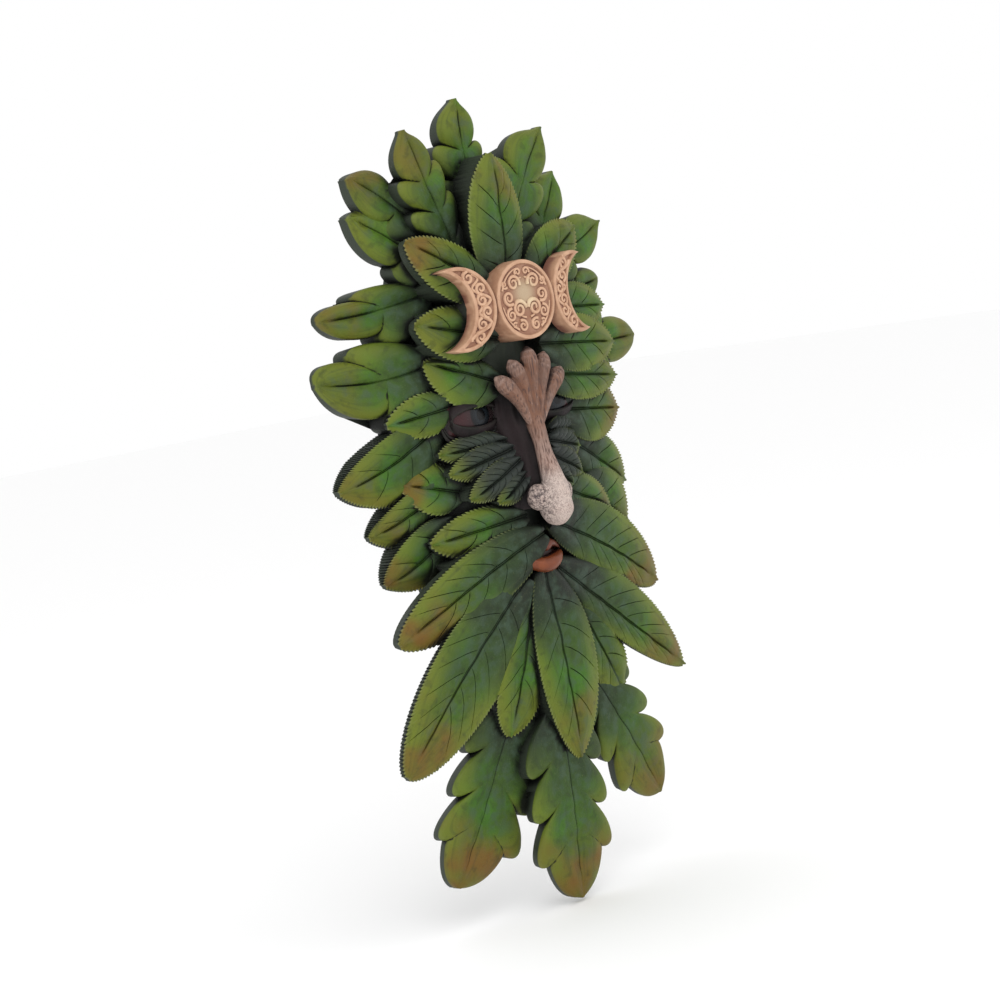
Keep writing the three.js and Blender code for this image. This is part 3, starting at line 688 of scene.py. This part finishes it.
# The mouth: a full lower lip, a bowed upper lip and the dark gap between.
mouth = {
    "lower": [(-14, -28.5, 37.5), (-8, -32, 40), (-1, -33.5, 41), (6, -32, 40), (12, -28.5, 37.5)],
    "upper": [
        (-14, -27.5, 37.5), (-8, -24.5, 40), (-4, -23.6, 41), (-1, -24.8, 41.3), (2, -23.6, 41), (6, -24.5, 40),
        (12, -27.5, 37.5),
    ],
    "gap": (-1, -29, 33.5, 13.5, 6.5, 5), "lowerThick": 3.9, "upperThick": 2.4, "least": 0.6, "stand": 1.15,
    "steps": 36,
}


def throughPlaces(places, count):
    # Catmull-Rom line through places
    line = []
    points = [Vector(p) for p in [places[0]] + list(places) + [places[-1]]]
    for i in range(count + 1):
        t = i / count * (len(places) - 1)
        k = min(int(t), len(places) - 2)
        a, b, c, d = points[k:k + 4]
        t -= k
        bowed, swung = 2 * a - 5 * b + 4 * c - d, 3 * b - a - 3 * c + d
        line.append(0.5 * (2 * b + (c - a) * t + bowed * t ** 2 + swung * t ** 3))
    return line


def makeMouth():
    bm, paint = newForm()
    eggForm(bm, paint, *mouth["gap"], line=1)
    steps = mouth["steps"]
    for key in ("lower", "upper"):
        line = throughPlaces(mouth[key], steps)
        thick = mouth[key + "Thick"]
        radii = [max(mouth["least"], thick * math.sin(math.pi * i / steps) ** 0.6) for i in range(steps + 1)]
        sweepBar(bm, paint, [spot(*p) for p in line], radii, 16, mouth["stand"], float(key == "upper"))
    closeUp(bm, paint, "lips", "copperMetallicAcrylic")


makeMouth()

# The three moons, the disc between two crescents, with raised rims and scrolls on their sunken fields.
moon = {
    "up": 94, "height": 55.8, "seat": 34, "radius": 19, "gap": 0.6, "outer": 20, "inner": 18.8, "width": 12.5,
    "depth": 8, "turn": 12, "rim": 1.8, "field": 1.1, "foot": (26, 41, 5, 8, 10),
    "scrollFull": 1.35, "scrollFlat": 0.85, "scrollThin": 0.45, "scrollRise": 0.15,
    "vine": 0.95, "vineReach": 15.5, "vineWave": 5.6, "vineSwing": 0.8,
    "curlAside": 0.22, "curlSize": (0.62, 0.3), "curlTurns": 1.25, "curlThick": (0.17, 0.1),
}
# inset from the outline, height against the rim, and how dark the brown washes and painted shade are there,
# from the back to the field
moonSections = [
    (0, None, 0.7), (0, -4, 0.35), (0, -0.9, 0.1), (0.3, -0.25, 0), (0.9, 0, 0), (moon["rim"], -0.1, 0.1),
    (moon["rim"] + 0.4, -moon["field"], 0.8),
]


def moonSpot(side, x, z, rise):
    if side > 0:
        x, z = -x, -z
    x += side * moon["outer"]
    turn = math.radians(side * moon["turn"])
    deep = -rise
    away = x * math.cos(turn) - deep * math.sin(turn) + side * (moon["radius"] + moon["gap"])
    return spot(away, z + moon["up"], moon["height"] - x * math.sin(turn) - deep * math.cos(turn))


def discOutline(inset, count=96):
    r = moon["radius"] - inset
    return [(r * math.cos(2 * math.pi * i / count), r * math.sin(2 * math.pi * i / count)) for i in range(count)]


def crescentOutline(inset, count=48):
    outer, inner = moon["outer"] - inset, moon["inner"] + inset
    between = moon["inner"] + moon["width"] - moon["outer"]
    chord = (inner ** 2 - outer ** 2 - between ** 2) / (2 * between)
    horn = math.sqrt(outer ** 2 - chord ** 2)
    outerTurn, innerTurn = math.atan2(horn, chord), math.atan2(horn, between + chord)
    arc = [blend(-outerTurn, outerTurn, i / count) for i in range(count)]
    hollow = [blend(innerTurn, -innerTurn, i / count) for i in range(count)]
    return [(outer * math.cos(a), outer * math.sin(a)) for a in arc] + [
        (inner * math.cos(a) - between, inner * math.sin(a)) for a in hollow]


def curl(x, z, radius, start, turns, tail=0.25, steps=30):
    places = []
    for i in range(steps + 1):
        t = i / steps
        r = radius * (1 - (1 - tail) * t ** 0.85)
        a = math.radians(start) + turns * 2 * math.pi * t
        places.append((x + r * math.cos(a), z + r * math.sin(a)))
    return places


# Own scroll design of the disc, its right half: curls as (x, z, radius, start, turns, thickness) and
# arcs round the middle as (radius, from, to, thickness).
discCurls = [
    (5.0, -4.2, 4.4, 175, -1.6, 0.95), (10.9, 1.6, 3.6, 235, 1.5, 0.85), (6.6, 8.3, 4.0, 200, -1.5, 0.85),
    (2.7, 13.3, 2.1, 330, 1.2, 0.65), (10.7, -6.6, 3.3, 100, -1.4, 0.75), (4.3, -12.3, 3.0, 60, 1.4, 0.75),
    (12.6, 8.2, 2.1, 220, 1.2, 0.6), (9.6, -11.6, 1.6, 140, -1.1, 0.55),
]
discArcs = [
    (15.5, 20, 78, 0.6), (15.6, -62, -8, 0.6), (8.6, -80, -38, 0.55), (10.6, 62, 84, 0.55), (12.2, -84, -64, 0.5),
]


def crescentMiddle(z):
    # middle of the crescent's field at a place up it, and half its width
    outer = math.sqrt(moon["outer"] ** 2 - z ** 2)
    inner = math.sqrt(moon["inner"] ** 2 - z ** 2) - (moon["inner"] + moon["width"] - moon["outer"])
    return (outer + inner) / 2, max(0.0, (outer - inner) / 2 - moon["rim"])


def crescentScrolls():
    # a vine winds up the field, with a curl in each of its bends
    vine, wave = [], moon["vineWave"]
    for i in range(81):
        z = blend(-moon["vineReach"], moon["vineReach"], i / 80)
        middle, half = crescentMiddle(z)
        vine.append((middle + moon["vineSwing"] * half * math.sin(math.pi * z / wave), z))
    bars = [(vine, moon["vine"])]
    (wide, least), (thick, thinnest) = moon["curlSize"], moon["curlThick"]
    for k in range(-3, 3):
        z = wave * (k + 0.5)
        middle, half = crescentMiddle(z)
        hand = math.copysign(1, math.sin(math.pi * z / wave))
        aside = middle - moon["curlAside"] * hand * half
        line = curl(aside, z, wide * half + least, 90 * hand, moon["curlTurns"] * hand)
        bars.append((line, thick * half + thinnest))
    return bars


def discScrolls():
    bars = []
    for hand in (1, -1):
        for x, z, radius, start, turns, thick in discCurls:
            bars.append(([(hand * px, pz) for px, pz in curl(x, z, radius, start, turns)], thick))
        for radius, low, high, thick in discArcs:
            turn = [math.radians(blend(low, high, i / 24)) for i in range(25)]
            bars.append(([(hand * radius * math.cos(a), radius * math.sin(a)) for a in turn], thick))
    return bars


def makeMoon(side):
    outline = crescentOutline if side else discOutline
    back = -moon["depth"] if side else moon["seat"] - moon["height"]
    bm, paint = newForm()
    rings = [
        [moonSpot(side, x, z, back if rise is None else rise) for x, z in outline(inset)]
        for inset, rise, darkWashAndShade in moonSections
    ]
    ringForm(bm, paint, rings, [coat(line=darkWashAndShade) for inset, rise, darkWashAndShade in moonSections])
    closeUp(bm, paint, "moon", "washedTerracottaAcrylic")
    for line, thick in (crescentScrolls() if side else discScrolls()):
        bm, paint = newForm()
        places = [moonSpot(side, x, z, -moon["field"] + moon["scrollRise"]) for x, z in line]
        share = [1 - moon["scrollThin"] * i / len(line) for i in range(len(line))]
        sweepBar(bm, paint, places, [moon["scrollFull"] * thick * part for part in share], 6, moon["scrollFlat"])
        closeUp(bm, paint, "moonScroll", "washedTerracottaAcrylic")
    # the foot under each crescent is painted near black green, as painted shade in the crescent's hollow
    if side:
        away, h, halfX, halfZ, halfH = moon["foot"]
        bm, paint = newForm()
        eggForm(bm, paint, side * away, moon["up"], h, halfX, halfZ, halfH, 16, 10, line=0.8)
        closeUp(bm, paint, "moonFoot", "charcoalAcrylicWash")


for side in (-1, 0, 1):
    makeMoon(side)


# the body between the leaves takes the charcoal of the leaf walls, partly painted shade in the gaps
def bodyShell():
    def front(u, v):
        z = blend(body["stations"][0][0], body["stations"][-1][0], u)
        x = -v * 0.999 * bodyAt(z)[0]
        return spot(x, z, bodyFace(x, z)), coat(across=1.4)

    def wall(u, v, step):
        place, guide = front(u, v)
        return Vector((place.x, body["past"] * mm, place.z)), guide
    rows = [i / body["rows"] for i in range(body["rows"] + 1)]
    columns = [1 - 2 * i / body["columns"] for i in range(body["columns"] + 1)]
    return carvedShell(rows, columns, front, wall, 1)


mask = asPart(bodyShell(), "leaf_mask", "airbrushedAcrylicGreen", bpy.context.scene.collection)


# Union of every shell, then the flat back cut off.
def boolean(target, operation, other):
    step = target.modifiers.new(operation.lower(), "BOOLEAN")
    step.operation, step.solver, step.material_mode = operation, "MANIFOLD", "TRANSFER"
    if isinstance(other, bpy.types.Collection):
        step.operand_type, step.collection = "COLLECTION", other
    else:
        step.object = other


def cutter(name, size, centre):
    bm = bmesh.new()
    bmesh.ops.create_cube(bm, size=1, matrix=Matrix.Translation(centre) @ Matrix.Diagonal((*size, 1)))
    paintLoops(bm, {v: coat() for v in bm.verts})
    return asPart(bm, name, "bareCastPolyresin", bpy.context.scene.collection)


behind = cutter("behind", (0.8, 0.4, 0.8), (0, 0.2, 0))
recess = cutter("recess", (8 * mm, 16 * mm, 18 * mm), (0, 0, 120 * mm))  # 8 mm deep from the wall face
boolean(mask, "UNION", castings)
boolean(mask, "DIFFERENCE", behind)
boolean(mask, "DIFFERENCE", recess)
whole = applied(mask)
mask.modifiers.clear()
mask.data = whole
for spare in list(castings.objects) + [behind, recess]:
    bpy.data.objects.remove(spare)
print("joined:", len(whole.polygons), "faces")


# How fine the skin is, which edges stay sharp (in degrees), and how far (in mm) the rays look round each
# place for its dark washes and painted shade.
skin = {"triangles": 190000, "sharp": 42, "shadeAndWashReach": 16, "shadeAndWashRays": 16, "shadeAndWashStart": 0.2, "shadeAndWashSpread": 0.95}


# Only the outer skin stays: pockets shut in under the leaves are solid resin.
def keepSkin(mesh):
    bm = bmesh.new()
    bm.from_mesh(mesh)
    top = max(bm.verts, key=lambda v: v.co.z)
    reached, frontier = {top}, [top]
    while frontier:
        for e in frontier.pop().link_edges:
            for v in e.verts:
                if v not in reached:
                    reached.add(v)
                    frontier.append(v)
    bmesh.ops.delete(bm, geom=[v for v in bm.verts if v not in reached], context="VERTS")
    bmesh.ops.triangulate(bm, faces=bm.faces)
    bm.to_mesh(mesh)
    bm.free()


def lighten(part, triangles):
    # flat stretches of the skin need fewer triangles than its cuts
    step = part.modifiers.new("lighten", "DECIMATE")
    step.ratio = min(1.0, triangles / len(part.data.polygons))
    lighter = applied(part)
    part.modifiers.clear()
    part.data = lighter


def creaseEdges(mesh, angle):
    bm = bmesh.new()
    bm.from_mesh(mesh)
    for e in bm.edges:
        e.smooth = e.calc_face_angle(0) < math.radians(angle)
    for f in bm.faces:
        f.smooth = True
    bm.to_mesh(mesh)
    bm.free()


keepSkin(whole)
print("skin:", len(whole.polygons), "triangles")
lighten(mask, skin["triangles"])
whole = mask.data
creaseEdges(whole, skin["sharp"])
print("lightened:", len(whole.polygons), "triangles")


# How shut in each place is, from rays cast over its half sphere: dark washes gather there, and the same
# darkening is painted shade where the parts around would shadow it.
def occludedShadeAndWashGuide(mesh, reach, rays):
    bm = bmesh.new()
    bm.from_mesh(mesh)
    tree = BVHTree.FromBMesh(bm)
    dice = random.Random(5)
    fan = []
    while len(fan) < rays:
        d = Vector([dice.uniform(-1, 1) for _ in range(3)])
        if 0.1 < d.length < 1:
            fan.append(d.normalized())
    shut = mesh.attributes.new("occludedShadeAndWash", "FLOAT", "POINT")
    for v in bm.verts:
        blocked = 0.0
        for d in fan:
            ray = (v.normal + d * skin["shadeAndWashSpread"]).normalized()
            hit = tree.ray_cast(v.co + v.normal * skin["shadeAndWashStart"] * mm, ray, reach)
            if hit[0]:
                blocked += 1 - hit[3] / reach
        shut.data[v.index].value = blocked / rays
    bm.free()


# How sharply each place stands out, as millimetres over the radius of its curve: edges are rubbed pale.
def wornGuide(mesh):
    bm = bmesh.new()
    bm.from_mesh(mesh)
    stands = []
    for v in bm.verts:
        bends = []
        for e in v.link_edges:
            away = e.other_vert(v).co - v.co
            bends.append(-2 * mm * away.dot(v.normal) / max(away.length_squared, 1e-9))
        stands.append(sum(bends) / max(len(bends), 1))
    worn = mesh.attributes.new("worn", "FLOAT", "POINT")
    for v in bm.verts:
        near = [stands[e.other_vert(v).index] for e in v.link_edges]
        worn.data[v.index].value = max(0.0, 0.5 * stands[v.index] + 0.5 * sum(near) / max(len(near), 1))
    bm.free()


occludedShadeAndWashGuide(whole, skin["shadeAndWashReach"] * mm, skin["shadeAndWashRays"])
wornGuide(whole)
print("wash and wear guides made")


# Sockets whose names aren't their own go by number: those of Map Range and Mix as here, a Math node's as 0, 1, 2.
source, fromMin, fromMax, toMin, toMax = range(5)
mixShare, mixUnder, mixOver = 0, 6, 7
eased = {"interpolation_type": "SMOOTHSTEP"}


# One small function adds a node with its settings and links; a socket goes by its name or its number.
def node(m, kind, sockets, out=0, **settings):
    added = m.node_tree.nodes.new("ShaderNode" + kind)
    for name, value in settings.items():
        setattr(added, name, value)
    for key, value in sockets.items():
        if isinstance(value, bpy.types.NodeSocket):
            m.node_tree.links.new(value, added.inputs[key])
        else:
            added.inputs[key].default_value = value
    return added.outputs[out]


# A material starts with what its coats can follow: place, the guides above, and its patterns of noise, each
# with its size in mm, detail and roughness.
def openMaterial(paint):
    m = bpy.data.materials.get(paint["finish"]) or bpy.data.materials.new(paint["finish"])
    m.use_nodes = True
    g = {"where": node(m, "TexCoord", {}, "Object")}
    for name, keys in zip(guides, (("along", "across", "line", "shade"), ("tone", "rust", "haze", "seed"))):
        colour = node(m, "Attribute", {}, "Color", attribute_name=name)
        g.update({key: node(m, "SeparateColor", {0: colour}, i) for i, key in enumerate(keys[:3])})
        g[keys[3]] = node(m, "Attribute", {}, "Alpha", attribute_name=name)
    for name in ("occludedShadeAndWash", "worn"):
        g[name] = node(m, "Attribute", {}, "Fac", attribute_name=name)
    for name, (size, detail, harsh) in paint["patterns"].items():
        noises = {"Vector": g["where"], "Scale": 1 / (size * mm), "Detail": detail, "Roughness": harsh}
        g[name] = node(m, "TexNoise", noises)
    return m, m.node_tree.nodes["Principled BSDF"], g


# Coats of paint one over another: the colour, what it follows, where that starts and is full, how opaque it
# is. The grain makes low places glossier and stands out as fine relief, its depth in mm.
def brushOn(m, shader, g, paint):
    colour = hexColour(paint[paint["ground"]])
    for name, follows, start, full, opaque in paint["coats"]:
        span = {source: g[follows], fromMin: start, fromMax: full, toMax: g.get(opaque, opaque)}
        share = node(m, "MapRange", span, **eased)
        layer = {mixShare: share, mixUnder: colour, mixOver: hexColour(paint[name])}
        colour = node(m, "Mix", layer, 2, data_type="RGBA")
    m.node_tree.links.new(colour, shader.inputs["Base Color"])
    shader.inputs["Specular IOR Level"].default_value = paint["gloss"]
    smoothest, roughest = paint["rough"]
    grain = g[paint["grain"]]
    rough = node(m, "MapRange", {source: grain, fromMin: 0.3, fromMax: 0.7, toMin: smoothest, toMax: roughest})
    m.node_tree.links.new(rough, shader.inputs["Roughness"])
    bumps = node(m, "Bump", {"Strength": 0.6, "Distance": paint["relief"] * mm, "Height": grain})
    m.node_tree.links.new(bumps, shader.inputs["Normal"])


# Cast polyresin airbrushed with acrylic greens: soft clouds from charcoal stalk to yellow green margin,
# brush strokes along the blade, brown tips, near black washes in every cut that are partly painted shade,
# charcoal walls under the blades that are partly painted shade, a satin varnish. Clouds of 22 and 20 mm,
# mottling of 5 mm, and paint grain of 0.8 mm, drawn coarser than the real 0.1 mm spray.
leafPaint = {
    "finish": "airbrushedAcrylicGreen", "gloss": 0.24, "rough": (0.4, 0.56), "relief": 0.25, "grain": "grain",
    "base": "1d221b", "low": "24331d", "middle": "375219", "vivid": "3b6d17", "tip": "606a1b",
    "margin": "667022", "haze": "3f5244", "rust": "6c4f1e", "line": "0b0d09", "darkWashAndShade": "0c0e0c",
    "wall": "333a30", "light": "7d8454", "grey": "2a2e2d", "ground": "base",
    "cloudSize": 22, "patchSize": 20, "patterns": {"small": (5, 4, 0.5), "fine": (0.8, 3, 0.5)},
    "coats": [
        ("low", "wavy", 0.3, 0.55, 1.0), ("middle", "wavy", 0.45, 0.85, 0.9), ("tip", "wavy", 0.75, 1.25, "toned"),
        ("vivid", "patch", 0.4, 0.7, "keen"), ("haze", "small", 0.42, 0.68, "inner"),
        ("margin", "across", 0.45, 1.0, "outer"), ("rust", "patch", 0.3, 0.68, "rusty"),
        ("low", "stroke", 0.5, 0.3, 0.25), ("light", "stroke", 0.6, 0.85, 0.1), ("base", "small", 0.46, 0.3, 0.3),
        ("grey", "greyed", 0.0, 1.0, 0.9), ("light", "fine", 0.56, 0.8, 0.16), ("light", "rim", 0.05, 0.6, 0.4),
        # the charcoal of the walls and the near black in shut-in places are partly painted shade
        ("line", "line", 0.1, 0.9, 0.8), ("wall", "across", 1.03, 1.32, 1.0), ("darkWashAndShade", "occludedShadeAndWash", 0.06, 0.48, 0.95),
    ],
}


def paintLeaves():
    m, shader, g = openMaterial(leafPaint)
    for name, key, size, detail in (("cloud", "seed", "cloudSize", 3), ("patch", "tone", "patchSize", 2)):
        noises = {"Vector": g["where"], "W": g[key], "Scale": 1 / (leafPaint[size] * mm), "Detail": detail}
        g[name] = node(m, "TexNoise", noises, noise_dimensions="4D")
    # brush strokes about 2 mm wide and 30 mm long on a leaf of 90 mm
    place = node(m, "CombineXYZ", {0: g["along"], 1: g["across"], 2: g["seed"]})
    drawn = node(m, "Mapping", {"Vector": place, "Scale": (3, 9, 40)})
    g["stroke"] = node(m, "TexNoise", {"Vector": drawn, "Scale": 1.0, "Detail": 3})
    # the place along the blade, made uneven by the clouds
    g["wavy"] = node(m, "Math", {0: g["cloud"], 1: 0.6, 2: g["along"]}, operation="MULTIPLY_ADD")
    g["toned"] = node(m, "Math", {0: g["tone"], 1: 0.7, 2: 0.2}, operation="MULTIPLY_ADD")
    g["grain"] = node(m, "Math", {0: g["stroke"], 1: 0.6, 2: g["fine"]}, operation="MULTIPLY_ADD")
    for name, follows, start, full, most, how in (
        ("inner", "across", 0.9, 0.4, "haze", {}), ("outer", "wavy", 0.45, 0.95, 0.8, eased),
        ("keen", "wavy", 0.55, 0.95, 0.75, eased), ("rusty", "wavy", 0.9, 1.2, "rust", eased),
        ("greyed", "wavy", 1.4, 0.9, "shade", {}), ("rim", "across", 0.86, 0.97, "worn", {}),
    ):
        span = {source: g[follows], fromMin: start, fromMax: full, toMax: g.get(most, most)}
        g[name] = node(m, "MapRange", span, **how)
    brushOn(m, shader, g, leafPaint)


# The same resin in terracotta acrylic: brown washes lie in the lines, in shut-in places and low on the walls,
# partly painted shade there; raised edges are rubbed pale, the middle is ivory. Mottling of 7 mm, and grain of
# 0.7 mm, drawn coarser than the real one.
moonPaint = {
    "finish": "washedTerracottaAcrylic", "gloss": 0.35, "rough": (0.5, 0.7), "relief": 0.2, "grain": "fine",
    "clay": "a57b60", "pale": "cda688", "brown": "70463a", "ivory": "d8c8a4", "ground": "clay", "ivoryUp": 3,
    "patterns": {"patch": (7, 4, 0.5), "fine": (0.7, 3, 0.5)},
    "coats": [
        ("pale", "patch", 0.4, 0.7, 0.6), ("pale", "worn", 0.02, 0.5, 0.75),
        ("ivory", "away", 10 * mm, 2 * mm, 0.85), ("brown", "line", 0.1, 1.0, 0.5),
        ("brown", "fine", 0.6, 0.75, 0.3), ("brown", "occludedShadeAndWash", 0.1, 0.5, 0.85),
    ],
}


def paintMoons():
    m, shader, g = openMaterial(moonPaint)
    middle = spot(0, moon["up"] + moonPaint["ivoryUp"], moon["height"])
    g["away"] = node(m, "VectorMath", {0: g["where"], 1: middle}, 1, operation="DISTANCE")
    brushOn(m, shader, g, moonPaint)


# Bark of dry brushed acrylic: pinkish brown over grey with scratches down its length, paler towards the
# knob, which is stippled purple brown. Dark washes in its cuts are partly painted shade, and the mottling
# thickens low on the knob's sides, partly painted shade there. Scratches 0.7 mm wide and 8 mm long, clouds of
# 8 mm, stipple of 0.6 mm, dark mottling of 1.6 mm on the nostrils.
branchPaint = {
    "finish": "dryBrushedBarkAcrylic", "gloss": 0.25, "rough": (0.55, 0.75), "relief": 0.4, "grain": "grain",
    "brown": "6b5043", "red": "80563f", "pale": "b0968a", "grey": "403332", "white": "cdbcb2", "speck": "5c4b4f",
    "char": "3a3335", "darkWashAndShade": "211919", "ground": "brown", "scratchSize": 0.7, "scratchShape": (1, 1, 0.09),
    "patterns": {"patch": (8, 3, 0.5), "stipple": (0.6, 4, 0.7), "mottle": (1.6, 5, 0.75)},
    "coats": [
        ("red", "patch", 0.4, 0.65, 0.6), ("pale", "scratch", 0.3, 0.6, "bridge"), ("white", "low", 0.0, 1.0, 0.9),
        ("pale", "worn", 0.02, 0.35, 0.6), ("char", "mottle", 0.4, 0.62, "mottleAndSideShade"),
        ("grey", "scratch", 0.5, 0.32, "combed"), ("speck", "stipple", 0.44, 0.72, "speckled"),
        ("darkWashAndShade", "occludedShadeAndWash", 0.05, 0.42, 0.95),
    ],
}


def paintBranch():
    m, shader, g = openMaterial(branchPaint)
    drawn = node(m, "Mapping", {"Vector": g["where"], "Scale": branchPaint["scratchShape"]})
    scratches = {"Vector": drawn, "Scale": 1 / (branchPaint["scratchSize"] * mm), "Detail": 4}
    g["scratch"] = node(m, "TexNoise", scratches)
    for name, follows, start, full, least, most, how in (
        ("low", "along", 0.26, 0.04, 0, 1, eased), ("bridge", "along", 0.6, 0.2, 0, 0.85, eased),
        ("speckled", "along", 0.35, 0.04, 0.3, 0.8, {}), ("mottleAndSideShade", "line", 0, 1, 0.12, 0.95, {}),
        ("combed", "along", 0.1, 0.3, 0.1, 0.75, {}), ("rilled", "along", 0.1, 0.3, 0.2, 1.2, {}),
    ):
        span = {source: g[follows], fromMin: start, fromMax: full, toMin: least, toMax: most}
        g[name] = node(m, "MapRange", span, **how)
    g["grain"] = node(m, "Math", {0: g["scratch"], 1: g["rilled"], 2: g["stipple"]}, operation="MULTIPLY_ADD")
    brushOn(m, shader, g, branchPaint)


# Charcoal washes on the face between the leaves: near black with purple, partly painted shade round the eyes
# and beside the nose, with painted shade in shut-in places; rubbed grey green on the folds. Clouds of 9 mm and
# grain of 0.8 mm.
facePaint = {
    "finish": "charcoalAcrylicWash", "gloss": 0.15, "rough": (0.45, 0.65), "relief": 0.25, "grain": "fine",
    "shadow": "171414", "purple": "251d1f", "brown": "2a2021", "green": "2f372d", "pale": "50564a",
    "ground": "shadow", "patterns": {"patch": (9, 3, 0.5), "fine": (0.8, 3, 0.5)},
    "coats": [
        ("purple", "patch", 0.35, 0.6, 0.9), ("green", "line", 0.5, 1.0, 0.8), ("pale", "worn", 0.05, 0.45, 0.14),
        ("brown", "tone", 0.6, 1.0, 0.6), ("pale", "fine", 0.6, 0.85, 0.1), ("shadow", "occludedShadeAndWash", 0.1, 0.45, 0.9),
    ],
}
# Gloss acrylic of the eyes: blue black iris on a dark ball, reddened towards the outer corner. Ball, iris and
# ring are kept darker than their paint as painted shade under the brow, and shut-in places take painted shade.
eyePaint = {
    "finish": "glossBlackAcrylic", "gloss": 0.25, "rough": (0.2, 0.3), "relief": 0.05, "grain": "fine",
    "ball": "241b1c", "corner": "3c2022", "iris": "101316", "ring": "20272d", "pupil": "060708",
    "ground": "ball", "patterns": {"fine": (0.9, 3, 0.5)},
    "coats": [
        ("corner", "across", 0.55, 0.9, 0.85), ("pupil", "along", 1.12, 1.02, 0.8),
        ("iris", "along", 1.0, 0.94, 1.0), ("ring", "along", 0.9, 0.55, 0.4),
        ("pupil", "along", 0.52, 0.44, 1.0), ("pupil", "line", 0.0, 1.0, 0.9), ("pupil", "occludedShadeAndWash", 0.2, 0.55, 0.8),
    ],
}
# Copper metallic acrylic on the lips: warm soft shine, dark red in the gap and on the upper lip, and dark red
# painted shade in shut-in places.
lipPaint = {
    "finish": "copperMetallicAcrylic", "gloss": 0.5, "rough": (0.32, 0.45), "relief": 0.1, "grain": "fine",
    "metallic": 0.3, "copper": "6d351a", "bright": "844420", "deep": "5c2a1a", "dark": "260d0a",
    "ground": "copper", "patterns": {"patch": (5, 2, 0.5), "fine": (0.8, 3, 0.5)},
    "coats": [
        ("bright", "patch", 0.4, 0.7, 0.6), ("deep", "across", 0.0, 1.0, 0.85), ("dark", "line", 0.0, 1.0, 1.0),
        ("dark", "occludedShadeAndWash", 0.15, 0.5, 0.9),
    ],
}
# Bare cast polyresin on the flat back and in the hanging recess: chalky dark grey, as it left the mould. Clouds
# of 16 mm and grain of 1.2 mm.
resin = {
    "finish": "bareCastPolyresin", "gloss": 0.25, "rough": (0.65, 0.8), "relief": 0.3, "grain": "fine",
    "grey": "37362f", "pale": "4f4d45", "ground": "grey",
    "patterns": {"patch": (16, 4, 0.5), "fine": (1.2, 4, 0.5)},
    "coats": [("pale", "patch", 0.35, 0.65, 0.8), ("pale", "fine", 0.55, 0.8, 0.3)],
}

paintLeaves()
paintMoons()
paintBranch()
for paint in (facePaint, eyePaint, lipPaint, resin):
    m, shader, g = openMaterial(paint)
    shader.inputs["Metallic"].default_value = paint.get("metallic", 0)
    brushOn(m, shader, g, paint)
print("painted")

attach(mask, "root")
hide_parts("green_man_plaque")


# Floor, soft light and camera: places in metres, power in watts.
studio = {
    "paper": "fcfcfc", "paperRough": 0.95, "floorHalf": 6, "below": 2, "sky": "ffffff", "skyLight": 1.0,
    "lights": {"keyLight": ((-0.9, -1.3, 1.1), 1.2, 9), "fillLight": ((0.7, -1.5, 0.4), 1.4, 3)},
}


def floorAndLight():
    bm = bmesh.new()
    bmesh.ops.create_grid(bm, x_segments=1, y_segments=1, size=studio["floorHalf"])
    bmesh.ops.translate(bm, vec=(0, 0, cadLow.z - studio["below"] * mm), verts=bm.verts)
    floor = asPart(bm, "floor", "matteStudioPaper", bpy.context.scene.collection)
    floor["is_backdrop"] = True
    m = bpy.data.materials["matteStudioPaper"]
    m.use_nodes = True
    shader = m.node_tree.nodes["Principled BSDF"]
    shader.inputs["Base Color"].default_value = hexColour(studio["paper"])
    shader.inputs["Roughness"].default_value = studio["paperRough"]
    world = bpy.data.worlds.new("studio")
    bpy.context.scene.world = world
    world.use_nodes = True
    sky = world.node_tree.nodes["Background"]
    sky.inputs["Color"].default_value = hexColour(studio["sky"])
    sky.inputs["Strength"].default_value = studio["skyLight"]
    for name, (place, size, power) in studio["lights"].items():
        light = bpy.data.lights.new(name, "AREA")
        light.shape, light.size, light.energy = "SQUARE", size, power
        lamp = bpy.data.objects.new(name, light)
        bpy.context.scene.collection.objects.link(lamp)
        lamp.location = place
        lamp.rotation_euler = (-Vector(place)).to_track_quat("-Z", "Y").to_euler()


# the photo's angle in degrees, lens and sensor in mm, the rest in metres
camera = {
    "azimuth": -43, "elevation": 4.7, "roll": 9.5, "lens": 84.6, "sensor": 36, "distance": 1.163,
    "aim": (0.007048, -0.006756, -0.001628),
}


def photographer():
    azimuth, elevation, roll = [math.radians(camera[key]) for key in ("azimuth", "elevation", "roll")]
    level = math.cos(elevation)
    back = Vector((math.sin(azimuth) * level, -math.cos(azimuth) * level, math.sin(elevation)))
    right = Vector((math.cos(azimuth), math.sin(azimuth), 0))
    up = back.cross(right)
    turnedRight = right * math.cos(roll) - up * math.sin(roll)
    turnedUp = right * math.sin(roll) + up * math.cos(roll)
    lens = bpy.data.cameras.new("camera")
    lens.lens, lens.sensor_width, lens.clip_start, lens.clip_end = camera["lens"], camera["sensor"], 0.05, 50
    viewer = bpy.data.objects.new("camera", lens)
    bpy.context.scene.collection.objects.link(viewer)
    axes = Matrix((turnedRight, turnedUp, back)).transposed().to_4x4()
    viewer.matrix_world = Matrix.Translation(Vector(camera["aim"]) + back * camera["distance"]) @ axes
    bpy.context.scene.camera = viewer


floorAndLight()
photographer()
bpy.context.scene.view_settings.view_transform = "Standard"

low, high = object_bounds()
for name, corners in (("cad", (*cadLow, *cadHigh)), ("visual", (*low, *high))):
    print(name, "box in mm", [round(v / mm, 1) for v in corners])
